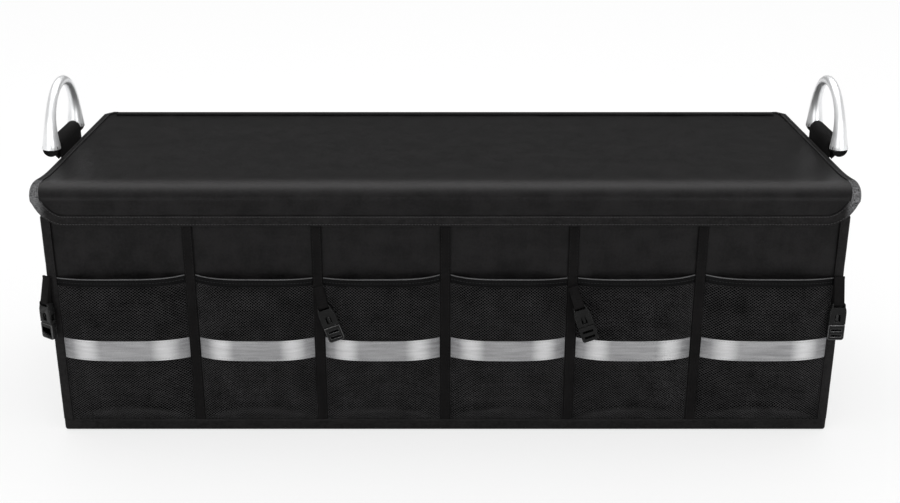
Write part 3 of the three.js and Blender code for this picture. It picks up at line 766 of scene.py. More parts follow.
@dataclass
class Box:
    """Stiffened walls, floor, dividers, bindings and bands. Its sizes are millimetres."""

    looks: Finishes
    rounding: float = 1.4
    wall_dip: float = 0.9
    side_dip: float = 0.7
    divider_dip: float = 0.5
    floor_dip: float = 0.3
    groove_half: float = 2.2
    seam_inset: float = 2.0
    band_seam: float = 4.1
    foot_seam: float = 11.5

    def panel(self, node: str, outward: Sequence[float], look: Material, slot: str, depth: float) -> None:
        """A board sewn into cloth: round edges, a lining inside, faces that are never quite flat, and painted shade on
        the front's outer face behind the nets.

        Args:
            node: The frame node that it stands for.
            outward: Which way its outer face looks.
            look: Finish of the outer face.
            slot: Not used.
            depth: How far the cloth dips, in millimetres.
        """
        low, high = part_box(node)
        piece = block(low, high)
        outward = Vector(outward)
        thin = int(np.argmax(np.abs(outward)))
        bevel(piece, self.rounding, 3)
        for axis in range(3):
            if axis != thin:
                count = max(int((high[axis] - low[axis]) / (SIZES.board_grid * MM)), 2)
                slice_at(piece, axis, np.linspace(low[axis], high[axis], count + 1)[1:-1])
        folds = "side_panel" in node or "divider" in node
        if folds:
            slice_at(piece, 1, (-self.groove_half * MM, 0.0, self.groove_half * MM))
        points = points_of(piece)
        side = np.sign(points[:, thin] - (low[thin] + high[thin]) / 2)
        dip = np.abs(wavy(points / MM, 38.0, 3.0)) * 0.8 + np.abs(wavy(points / MM, 11.0, 9.0)) * 0.3
        points[:, thin] -= side * dip * depth * MM
        if folds:
            groove = np.abs(points[:, 1]) < 0.001
            points[groove, thin] -= side[groove] * SIZES.groove_depth * MM
        put_points(piece, points)
        dress(piece, look, self.looks.lining, self.looks.shade)
        for face in piece.data.polygons:
            facing = face.normal.dot(outward)
            # Painted shade: the front's outer face behind the nets gets the near-black shade cloth.
            behind_net = node == "front_panel" and facing > 0.5 and face.center[2] < SIZES.shaded_up_to * MM
            face.material_index = 2 if behind_net else int(facing < -0.5)
        finish(piece, f"{node.replace('_panel', '')}_cloth", look, nodes=[node], uv=True)

    def walls(self) -> None:
        """The four walls and the two dividers."""
        cloth, lining = (self.looks.cloth, "oxford_cloth"), (self.looks.lining, "lining")
        self.panel("front_panel", (0, -1, 0), *cloth, self.wall_dip)
        self.panel("rear_panel", (0, 1, 0), *cloth, self.wall_dip)
        for name, look, depth in (("side_panel", cloth, self.side_dip), ("divider", lining, self.divider_dip)):
            self.panel(f"left_{name}", (-1, 0, 0), *look, depth)
            self.panel(f"right_{name}", (1, 0, 0), *look, depth)

    def floor(self) -> None:
        """The base and the three loose boards on it."""
        base = solid_of("base_panel")
        bevel(base, 0.8)
        finish(base, "base_cloth", self.looks.cloth, nodes=["base_panel"], uv=True)
        for place in ("left", "middle", "right"):
            self.panel(f"{place}_floor_board", (0, 0, 1), self.looks.lining, "lining", self.floor_dip)

    def upright(self, name: str, outline: np.ndarray, top: float, look: Material, slot: str, node: str) -> None:
        """An upright tape from the foot tape up, with a closed outline seen from above, in millimetres."""
        bottom = SIZES.band_bottom
        levels = np.linspace(bottom, top, int((top - bottom) / 6) + 1)
        rows = np.zeros((len(levels), len(outline), 3))
        rows[:, :, :2] = outline
        rows[:, :, 2] = levels[:, None]
        away = np.sign(rows[:, :, :2] - outline.mean(0))
        rows[:, :, :2] -= away * np.abs(wavy(rows, 9.0, 5.0))[:, :, None] * 0.22
        finish(loft(rows, across_closed=True), name, look, nodes=[node])

    def bands(self) -> None:
        """Webbing bands between the pockets, with two stitch rows each."""
        half, thick = SIZES.band_width / 2, SIZES.tape
        flat = np.linspace(-half + thick / 2, half - thick / 2, 8)
        shape = [(x, thick) for x in flat] + [(half, thick / 2)] + [(x, 0.0) for x in flat[::-1]] + [(-half, thick / 2)]
        rows = []
        for i in range(5):
            x = (i - 2) * SIZES.band_pitch
            outline = np.array([(x + across, -SIZES.band_back - out) for across, out in shape])
            self.upright(
                f"band_{i + 1}", outline, SIZES.band_top, self.looks.webbing, "webbing", f"divider_band_{i + 1}",
            )
            for side in (-self.band_seam, self.band_seam):
                place = (x + side, -SIZES.band_front + 0.05)
                rows.append(stitches(np.linspace((*place, 16), (*place, SIZES.band_top - 2), 60)))
        finish(join(rows), "band_stitching", self.looks.black_yarn)

    def corners(self) -> None:
        """Tapes folded round the four upright corners."""
        reach, radius, tape = SIZES.corner_binding, SIZES.corner_radius, SIZES.tape
        rows = []
        for x_name, sx in (("left", -1), ("right", 1)):
            for y_name, sy in (("front", -1), ("rear", 1)):
                out_y = SIZES.band_front if sy < 0 else SIZES.rear_face
                out_x = SIZES.half_length
                top = SIZES.band_top if sy < 0 else SIZES.wall_top
                arc = [
                    (out_x - radius + radius * math.cos(a), out_y - radius + radius * math.sin(a))
                    for a in np.linspace(0, math.pi / 2, 6)
                ]
                arm_x = [(out_x, y) for y in np.linspace(out_y - reach, out_y - radius - 1, 5)]
                arm_y = [(x, out_y) for x in np.linspace(out_x - radius - 1, out_x - reach, 5)]
                inner_y = [(x, out_y - tape) for x in np.linspace(out_x - reach, out_x - tape, 6)]
                inner_x = [(out_x - tape, y) for y in np.linspace(out_y - tape - 1, out_y - reach, 6)]
                outline = np.array(arm_x + arc + arm_y + inner_y + inner_x) * (sx, sy)
                self.upright(
                    f"{y_name}_{x_name}_corner_tape", outline, top, self.looks.tape, "binding_tape",
                    f"{y_name}_{x_name}_binding",
                )
                inner = reach - self.seam_inset
                for px, py in ((out_x - inner, out_y), (out_x, out_y - inner)):
                    rows.append(stitches(np.linspace((sx * px, sy * py, 18), (sx * px, sy * py, top - 3), 60)))
        finish(join(rows), "corner_stitching", self.looks.black_yarn)

    def ring(self, inset: float, height: float) -> np.ndarray:
        """Points round the box's foot, at an inset from the outer faces."""
        radius = max(SIZES.corner_radius + 1.5 - inset, 0.3)
        x = SIZES.half_length - inset
        front, rear = -SIZES.band_front + inset, SIZES.rear_face - inset
        corners = [(x, front, -90), (x, rear, 0), (-x, rear, 90), (-x, front, 180)]
        arcs = []
        for cx, cy, start in corners:
            middle = (cx - math.copysign(radius, cx), cy - math.copysign(radius, cy))
            turns = np.radians(np.linspace(start, start + 90, 6))
            arcs.append([(middle[0] + radius * math.cos(a), middle[1] + radius * math.sin(a)) for a in turns])
        found = []
        for i, arc in enumerate(arcs):
            (ax, ay), (bx, by) = arc[-1], arcs[(i + 1) % 4][0]
            between = np.linspace(0, 1, 26 if i % 2 == 0 else 70)[1:-1]
            found += arc + [(ax + (bx - ax) * t, ay + (by - ay) * t) for t in between]
        return np.array([(px, py, height) for px, py in found])

    def foot(self) -> None:
        """Tape folded round the lower edge, up the walls and under them."""
        profile = [
            (0.0, 2.2), (0.0, 5.0), (0.0, 8.0), (0.0, 11.0), (0.1, 13.4), (0.6, 14.0), (1.1, 13.5),
            (1.2, 8.0), (1.2, 1.3), (13.9, 1.2), (14.0, 0.6), (13.9, 0.05), (6.0, 0.0), (2.2, 0.0), (0.65, 0.6),
        ]
        rows = np.array([self.ring(inset, height) for inset, height in profile]).transpose(1, 0, 2)
        shift = wavy(rows, 7.0, 2.0)
        rows[:, 3:7, 2] += (shift[:, 3:7] - 0.4).clip(-1, 0) * 0.35
        piece = loft(rows, across_closed=True, along_closed=True)
        finish(piece, "foot_tape", self.looks.tape, nodes=["base_binding"])
        seam = self.ring(0.0, self.foot_seam)
        finish(stitches(np.concatenate([seam, seam[:1]])), "foot_stitching", self.looks.black_yarn)

    def build(self) -> None:
        """Makes the whole box."""
        self.walls()
        self.floor()
        self.bands()
        self.corners()
        self.foot()


# The pockets


@dataclass(frozen=True)
class Pocket:
    """One pouch of net with its hem and its reflective strip.

    The net's cells are counted across and up. Above its foot the net is slack, and it creases along a low arch.
    """

    number: int
    left: float
    right: float
    top: float = 196.5
    bulge: float = 15.0
    top_share: float = 0.62
    sag: float = 2.4
    tilt: float = 3.8
    strip_middle: float = 107.4
    strip_width: float = 25.0
    cells: tuple[int, int] = (34, 58)
    wire: float = 0.83
    side_gap: float = 0.3
    seam_down: float = 5.0
    strip_lift: float = 1.95
    strip_seam: float = 1.8
    slack: float = 1.3
    slack_size: float = 26.0
    crease: float = 2.6
    crease_half: float = 5.0
    crease_foot: float = 16.0
    crease_rise: float = 15.0

    def across(self, x: np.ndarray) -> np.ndarray:
        """1 in the middle of the pocket and 0 at its bands."""
        half = (self.right - self.left) / 2 - self.side_gap
        share = np.clip(np.abs(x - (self.left + self.right) / 2) / half, 0, 1)
        return 1 - share ** 3

    def mouth(self, x: np.ndarray) -> np.ndarray:
        """Height of the pocket's upper edge, which drops soon after one band and climbs slowly to the other."""
        half = (self.right - self.left) / 2
        place = (x - (self.left + self.right) / 2) / half * (1 if self.number % 2 == 0 else -1)
        steep = self.sag * (1 - np.abs(np.clip(place, -1, 0)) ** 4)
        slow = self.sag - (self.sag - self.tilt) * np.clip(place, 0, 1) ** 1.5
        return self.top + 1.0 - np.where(place < 0, steep, slow)

    def out(self, x: np.ndarray, z: np.ndarray) -> np.ndarray:
        """How far the net stands out from the wall."""
        t = np.clip((z - SIZES.band_bottom) / (self.mouth(x) - SIZES.band_bottom), 0, 1)
        rise = 1 - (1 - t) ** 3
        taper = 1 - (1 - self.top_share) * t * t
        return self.bulge * self.across(x) * rise * taper

    def surface(self, x: np.ndarray, z: np.ndarray, lift: float = 0.0) -> np.ndarray:
        """Points on the net, lifted off it by so much."""
        return np.stack([x, -SIZES.net_back - lift - self.out(x, z), z], -1)

    def columns(self, count: int, margin: float = 0.4) -> np.ndarray:
        """Places across the pocket, closer together at its sides."""
        middle, half = (self.left + self.right) / 2, (self.right - self.left) / 2 - margin
        even = np.linspace(-1, 1, count)
        return middle + half * (0.55 * even + 0.45 * np.sin(even * math.pi / 2))

    def cut(self) -> tuple[float, float]:
        """Width and height of the net as it was cut, in metres, from the lines across and up the pouch."""
        x = np.linspace(self.left, self.right, 60)
        z = np.linspace(SIZES.net_bottom, self.top - self.sag, 60)
        middle = np.full_like(z, (self.left + self.right) / 2)
        across = self.surface(x, np.full_like(x, self.strip_middle))
        up = self.surface(middle, z)
        width, height = (float(np.linalg.norm(np.diff(line, axis=0), axis=1).sum()) for line in (across, up))
        return width * MM, height * MM

    def net(self, looks: Finishes) -> None:
        """Diamond net: a grid is poked, its own edges are dissolved, and the rest becomes thread."""
        across, up = self.cells
        bpy.ops.mesh.primitive_grid_add(x_subdivisions=across, y_subdivisions=up, size=1)
        piece = bpy.context.object
        corners = len(piece.data.vertices)
        with editing(piece, "FACE"):
            bpy.ops.mesh.poke()
        place = points_of(piece)
        ends = np.empty(len(piece.data.edges) * 2, int)
        piece.data.edges.foreach_get("vertices", ends)
        ends = ends.reshape(-1, 2)
        rim = np.abs(place[:, :2]) > 0.4999
        at_rim = (rim[ends[:, 0]] & rim[ends[:, 1]]).any(1)
        for kind in (piece.data.vertices, piece.data.polygons):
            kind.foreach_set("select", [False] * len(kind))
        piece.data.edges.foreach_set("select", (ends < corners).all(1) & ~at_rim)
        with editing(piece, "EDGE", everything=False):
            bpy.ops.mesh.dissolve_edges(use_verts=False)
        share = points_of(piece)[:, :2] + 0.5
        x = self.left + self.side_gap + share[:, 0] * (self.right - self.left - 2 * self.side_gap)
        z = SIZES.net_bottom + share[:, 1] * (self.mouth(x) - 1.0 - SIZES.net_bottom)
        points = self.surface(x, z, 0.5)
        low = np.clip((z - 12) / 20, 0, 1) * np.clip((75 - z) / 55, 0, 1) * self.across(x)
        points[:, 1] -= wavy(points * (1, 1, 0.7), self.slack_size, 4.0 + self.number) * self.slack * low
        share = (x - self.left) / (self.right - self.left)
        lean = 3.0 * (self.number % 3 - 1) * (share - 0.5)
        arch = self.crease_foot + self.crease_rise * np.sin(np.pi * share) ** 0.7 + lean
        points[:, 1] -= self.crease * np.exp(-(((z - arch) / self.crease_half) ** 2)) * self.across(x)
        put_points(piece, points * MM)
        apply(
            piece, "WIREFRAME", thickness=self.wire * MM, use_boundary=True, use_even_offset=False,
            use_relative_offset=False, use_replace=True, offset=0.0,
        )
        finish(
            piece, f"net_{self.number}", looks.net, nodes=[f"mesh_pocket_{self.number}"],
            angle=50.0,
        )
        self.cut()

    def rim(self, x: np.ndarray, profile: Sequence[tuple[float, float]]) -> Piece:
        """A skin along the mouth, from a profile of ways down from it and out of the net."""
        rows = [self.surface(x, self.mouth(x) - down, lift) for down, lift in profile]
        return loft(np.array(rows).transpose(1, 0, 2), across_closed=True)

    def hem(self, looks: Finishes) -> None:
        """Folded hem round the mouth, with a piped upper edge and a stitch row."""
        profile = [
            (0.4, 0.0), (0.0, 1.0), (0.3, 1.7), (1.6, 1.5), (2.0, 2.0), (4.4, 2.2), (5.0, 1.7), (5.6, 2.2), (8.4, 2.0),
            (9.2, 1.4), (9.3, 0.0), (5.0, 0.0),
        ]
        x = self.columns(40)
        finish(self.rim(x, profile), f"hem_{self.number}", looks.hem)
        ring = [(0.3 + 0.75 * math.cos(a), 1.5 + 0.75 * math.sin(a)) for a in np.linspace(0, 2 * math.pi, 9)[:-1]]
        finish(self.rim(x, ring), f"piping_{self.number}", looks.piping)
        line = self.surface(x, self.mouth(x) - self.seam_down, self.strip_lift)
        finish(stitches(line, pitch=3.6, length=2.8), f"hem_stitching_{self.number}", looks.hem_yarn)

    def strip(self, looks: Finishes) -> None:
        """Reflective tape across the net, stitched along both edges."""
        half = self.strip_width / 2
        levels = np.linspace(-half, half, 9)
        rim = [(half + 0.15, 1.6), (half, 1.2), (-half, 1.2), (-half - 0.15, 1.6)]
        profile = [(v, self.strip_lift) for v in levels] + rim
        x = self.columns(48, 0.6)
        rows = [self.surface(x, np.full_like(x, self.strip_middle + v), lift) for v, lift in profile]
        rows = np.array(rows).transpose(1, 0, 2)
        rows[:, :9, 1] += np.abs(wavy(rows[:, :9], 16.0, self.number)) * 0.3
        piece = loft(rows, across_closed=True)
        middle, half_width = (self.left + self.right) / 2, (self.right - self.left) / 2
        # Position across the pocket, which places the tape's painted shoulder highlight and painted end shade.
        mark(piece, "bend", np.abs(points_of(piece)[:, 0] / MM - middle) / half_width)
        finish(
            piece, f"reflective_{self.number}", looks.reflective,
            nodes=[f"reflective_strip_{self.number}"],
        )
        seams = [np.full_like(x, self.strip_middle + v) for v in (self.strip_seam - half, half - self.strip_seam)]
        rows = [stitches(self.surface(x, z, self.strip_lift), pitch=3.2, length=2.1, radius=0.3) for z in seams]
        finish(join(rows), f"reflective_stitching_{self.number}", looks.grey_yarn)

    def build(self, looks: Finishes) -> None:
        """Makes the pouch, hem and strip."""
        self.net(looks)
        self.hem(looks)
        self.strip(looks)


def pockets() -> list[Pocket]:
    """The six pockets from left to right."""
    bands = [(i - 2) * SIZES.band_pitch for i in range(5)]
    half = SIZES.band_width / 2
    inner = SIZES.half_length - SIZES.corner_binding
    lefts = [-inner] + [x + half for x in bands]
    rights = [x - half for x in bands] + [inner]
    return [Pocket(i + 1, a, b) for i, (a, b) in enumerate(zip(lefts, rights))]


# The lid


@dataclass
class Lid:
    """Lid and flap in one cover that folds softly at the front.

    The cover swells where the fold ends. Along the fold it carries a painted highlight, a band of lighter colour, and
    its tape is paler at its two front corners.
    """

    looks: Finishes
    half: float = 452.4
    rear: float = 161.0
    top: float = 300.8
    under: float = 295.6
    flap_face: float = 169.9
    flap_back: float = 166.9
    flap_foot: float = 259.0
    fold: float = 16.0
    fold_reach: float = 28.0
    corner: float = 33.0
    tape_width: float = 11.0
    swelling: float = 3.0
    roll: float = 2.2
    rear_corner: float = 9.0
    side_width: float = 6.5
    steps: int = 22
    inner_less: float = 4.0
    fold_highlight_at: float = 149.0
    fold_highlight_half: tuple[float, float] = (11.0, 9.0)
    swells_from: float = 395.0
    swells_over: float = 57.0
    swell_reach: float = 20.0
    tape_pale_from: float = 440.5
    tape_pale_middle: float = 289.0
    tape_pale_half: float = 28.0
    tape_pale_front: float = 146.0
    hinge_seams: tuple[float, float, float] = (275.0, 291.0, 150.5)
    hinge_half: float = 437.0
    hinge_radius: float = 3.4
    hinge_thick: float = 1.05
    hinge_top: float = 302.0
    hinge_low: float = 272.0
    hinge_front: float = 148.0

    def outer_arc(self, steps: int) -> list[tuple[float, float]]:
        """The fold's outer line from the lid's top to the flap's face, as Y and Z."""
        y, z = -self.flap_face + self.fold_reach, self.top - self.fold
        turns = np.linspace(0, math.pi / 2, steps)
        return [(y - self.fold_reach * math.sin(a), z + self.fold * math.cos(a)) for a in turns]

    def inner_arc(self) -> list[tuple[float, float]]:
        """The fold's inner line from the flap's back to the lid's underside, as Y and Z."""
        reach, height = self.fold_reach - self.inner_less, self.fold - self.inner_less
        y, z = -self.flap_back + reach, self.under - height
        return [(y - reach * math.cos(a), z + height * math.sin(a)) for a in np.linspace(0, math.pi / 2, 9)]

    def swell(self, points: np.ndarray) -> np.ndarray:
        """Raises the cloth over the fold, pushes its ends outwards, and rounds the rear corners."""
        near = np.clip((np.abs(points[..., 0]) - self.swells_from) / self.swells_over, 0, 1) ** 2
        middle = np.array([-self.flap_face + 9.0, self.top - 5.0])
        away = np.linalg.norm((points[..., 1:] - middle) / (1.4, 1.0), axis=-1)
        close = np.exp(-((away / self.swell_reach) ** 2))
        moved = points.copy()
        moved[..., 0] += np.sign(points[..., 0]) * near * close * self.swelling
        moved[..., 1] -= near * close * 1.2
        moved[..., 2] += (self.roll + near * 0.8) * close
        behind = np.clip(points[..., 1] - (self.rear - self.rear_corner), 0, self.rear_corner)
        cut = self.rear_corner - np.sqrt(self.rear_corner ** 2 - behind ** 2)
        moved[..., 0] *= 1 - cut / self.half
        return moved

    def bend(self, piece: Piece) -> None:
        """Bakes a piece's placement into its mesh."""
        end = Vector((0, -self.flap_face, self.top - self.fold)) * MM
        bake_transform(piece)

    def foot_at(self, x: np.ndarray) -> np.ndarray:
        """Height of the flap's lower edge, which curves up at both ends."""
        into = np.clip(np.abs(x) - (self.half - self.corner), 0, self.corner)
        return self.flap_foot + self.corner - np.sqrt(np.maximum(self.corner ** 2 - into ** 2, 0))

    def cover(self) -> None:
        """Cloth over the lid's board, over the fold and down the flap, with a lining inside."""
        end = np.cos(np.linspace(0, math.pi / 2, 14))
        ends = self.half - self.corner + self.corner * end[::-1]
        middle = np.linspace(-(self.half - self.corner), self.half - self.corner, 80)
        x = np.concatenate([-ends[::-1], middle[1:-1], ends])
        flat_y = np.linspace(self.rear, -self.flap_face + self.fold_reach, 34)
        outer = [(y, self.top) for y in flat_y[:-1]] + self.outer_arc(self.steps)
        inner_end = -self.flap_back + self.fold_reach - self.inner_less
        inner = self.inner_arc() + [(y, self.under) for y in np.linspace(inner_end, self.rear, 34)[1:]]
        drops = np.linspace(0, 1, 14)[1:]
        foot = self.foot_at(x)
        face, back = outer[-1][1], inner[0][1]
        lines = [*outer, *((-self.flap_face, face + (np.minimum(foot, face) - face) * t) for t in drops)]
        lines += [*((-self.flap_back, back + (np.minimum(foot, back) - back) * t) for t in drops[::-1]), *inner]
        points = np.array([np.stack(np.broadcast_arrays(x, y, z), 1) for y, z in lines]).transpose(1, 0, 2)
        self.settle(points, len(outer), len(drops))
        piece = loft(self.swell(points), across_closed=True)
        dress(piece, self.looks.cloth, self.looks.lining)
        for face in piece.data.polygons:
            inwards = face.normal.y - face.normal.z > 0.3
            face.material_index = int(inwards and face.center[1] / MM < self.rear - 1.0)
        _, y, z = points_of(piece).T / MM
        # Painted highlight along the fold: the cloth's lighter colour, spread as a soft band across the fold.
        along_y, along_z = self.fold_highlight_half
        mark(piece, "rub_and_sheen", np.exp(-((y + self.fold_highlight_at) / along_y) ** 2 - ((z - self.top - 0.7) / along_z) ** 2))
        finish(piece, "lid_cover", self.looks.cloth, body="", nodes=["lid_panel", "lid_flap"])
        self.bend(piece)

    def settle(self, points: np.ndarray, outer: int, drops: int) -> None:
        """Gives the cover's outer side the slight unevenness of cloth over a board."""
        face = points[:, : outer + drops]
        soft = wavy(face, 70.0, 1.0) * 0.35 + wavy(face, 24.0, 6.0) * 0.12
        edge = np.clip((self.half - np.abs(face[:, :, 0])) / 14.0, 0, 1)
        dip = (soft - 0.4) * edge
        arc = slice(outer - self.steps, outer)
        face[:, : arc.start, 2] += dip[:, : arc.start]
        face[:, outer:, 1] -= dip[:, outer:]
        turn = np.linspace(0, math.pi / 2, self.steps)
        face[:, arc, 1] -= dip[:, arc] * np.sin(turn)
        face[:, arc, 2] += dip[:, arc] * np.cos(turn)

    def edge_path(self) -> list[tuple[np.ndarray, np.ndarray, np.ndarray, float]]:
        """Frames down one side of the lid, over the fold and round the flap to its middle.

        Returns:
            The point on the outer face, the way inwards, the way out of the face, and the thickness there.
        """
        inward, lid_thick, flap_thick = np.array([1.0, 0, 0]), self.top - self.under, self.flap_face - self.flap_back
        found = []
        for y in np.linspace(self.rear, -self.flap_face + self.fold_reach, 30)[:-1]:
            found.append((np.array([-self.half, y, self.top]), inward, np.array([0, 0, 1.0]), lid_thick))
        for i, (y, z) in enumerate(self.outer_arc(9)):
            a = math.pi / 2 * i / 8
            thick = lid_thick + (flap_thick - lid_thick) * i / 8
            out = np.array([0, -math.sin(a) / self.fold_reach, math.cos(a) / self.fold])
            found.append((np.array([-self.half, y, z]), inward, out / np.linalg.norm(out), thick))
        forward = np.array([0, -1.0, 0])
        mid_x, mid_z = -(self.half - self.corner), self.flap_foot + self.corner
        for a in np.linspace(0, math.pi / 2, 12):
            at = (mid_x - self.corner * math.cos(a), -self.flap_face, mid_z - self.corner * math.sin(a))
            if at[2] < self.top - self.fold:
                found.append((np.array(at), np.array([math.cos(a), 0, math.sin(a)]), forward, flap_thick))
        for px in np.linspace(mid_x, 0, 40)[1:]:
            at = np.array([px, -self.flap_face, self.flap_foot])
            found.append((at, np.array([0, 0, 1.0]), forward, flap_thick))
        return found

    def edge_tape(self) -> None:
        """Binding tape folded over the whole free edge of lid and flap, stitched through."""
        flip = np.array([-1.0, 1, 1])
        path = self.edge_path()
        path += [(at * flip, inward * flip, out, thick) for at, inward, out, thick in path[-2::-1]]
        rows, inner_row, outer_row = [], [], []
        for at, inward, out, thick in path:
            down = min(max((self.top - at[2]) / 30.0, 0.0), 1.0)
            wide = self.side_width + (self.tape_width - self.side_width) * down
            profile = [
                (-1.2, 0.1), (-0.8, 0.85), (0.4, 1.1), (wide * 0.3, 1.2), (wide * 0.5, 1.15), (wide * 0.8, 1.1),
                (wide - 0.2, 0.8), (wide, 0.05),
            ]
            inner_row.append(at + inward * (wide - 1.5) + out * 1.1)
            outer_row.append(at + inward * 1.0 + out * 1.15)
            front = [at + inward * u + out * v for u, v in profile]
            back = [at + inward * u - out * (thick + v) for u, v in profile[::-1]]
            rows.append(front + [at + inward * wide - out * 0.02, at + inward * wide - out * (thick - 0.02)] + back)
        piece = loft(self.swell(np.array(rows)), across_closed=True)
        x, y, z = points_of(piece).T / MM
        # The lid tape turns paler at its two front corners, where it bends over the fold.
        outwards = np.clip((np.abs(x) - self.tape_pale_from) / 6.2, 0, 1)
        upright = np.clip(1.25 - np.abs(z - self.tape_pale_middle) / self.tape_pale_half, 0, 1)
        mark(piece, "rub_and_sheen", outwards * upright * (y < -self.tape_pale_front))
        finish(
            piece, "lid_edge_tape", self.looks.tape, body="",
            nodes=["lid_left_binding", "lid_right_binding", "flap_binding"],
        )
        self.bend(piece)
        row = join([stitches(self.swell(np.array(line)), pitch=3.4, length=2.6) for line in (inner_row, outer_row)])
        finish(row, "lid_edge_stitching", self.looks.dull_yarn, body="")
        self.bend(row)

    def hinge(self) -> None:
        """Cloth strip from the rear wall over onto the lid, on which the lid turns."""
        back, over, radius, half = SIZES.rear_face, self.hinge_top, self.hinge_radius, self.hinge_half
        path = [(back, z) for z in np.linspace(self.hinge_low, over - radius, 9)[:-1]]
        path += [
            (back - radius + radius * math.cos(a), over - radius + radius * math.sin(a))
            for a in np.linspace(0, math.pi / 2, 7)
        ]
        path += [(y, over) for y in np.linspace(back - radius, self.hinge_front, 5)[1:]]
        line = np.array(path)
        loop = np.concatenate([line, (line + normals_of(line) * self.hinge_thick)[::-1]])
        x = np.linspace(-half, half, 90)
        rows = np.zeros((len(x), len(loop), 3))
        rows[:, :, 0] = x[:, None]
        rows[:, :, 1:] = loop
        piece = loft(rows, across_closed=True)
        finish(piece, "rear_hinge_cloth", self.looks.tape, body="", nodes=["lid_hinge_tape"])
        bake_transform(piece)
        low, high, front = self.hinge_seams
        seams = ((back + 0.05, low), (back + 0.05, high), (front, over + 0.05))
        row = join([stitches(np.linspace((3 - half, y, z), (half - 3, y, z), 60)) for y, z in seams])
        finish(row, "rear_hinge_stitching", self.looks.black_yarn, body="")
        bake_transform(row)

    def closure(self) -> None:
        """Loop tape on the wall and hook tape in the flap."""
        for node, body in (("loop_tape", "root"), ("hook_tape", "flap")):
            low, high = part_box(node)
            piece = block(low, high)
            bevel(piece, 0.8, 3)
            slice_at(piece, 0, np.linspace(low[0], high[0], 91)[1:-1])
            slice_at(piece, 2, np.linspace(low[2], high[2], 5)[1:-1])
            points = points_of(piece)
            inwards = np.sign(points[:, 1].mean() - points[:, 1])
            points[:, 1] += inwards * np.abs(wavy(points / MM, 6.0, 1.5)) * 0.25 * MM
            put_points(piece, points)
            finish(piece, f"{node}_fuzz", self.looks.fuzz, body=body, nodes=[node], uv=True)

    def build(self) -> None:
        """Makes the lid, its edge, its hinge and its closure."""
        self.cover()
        self.edge_tape()
        self.hinge()
        self.closure()


# The handles


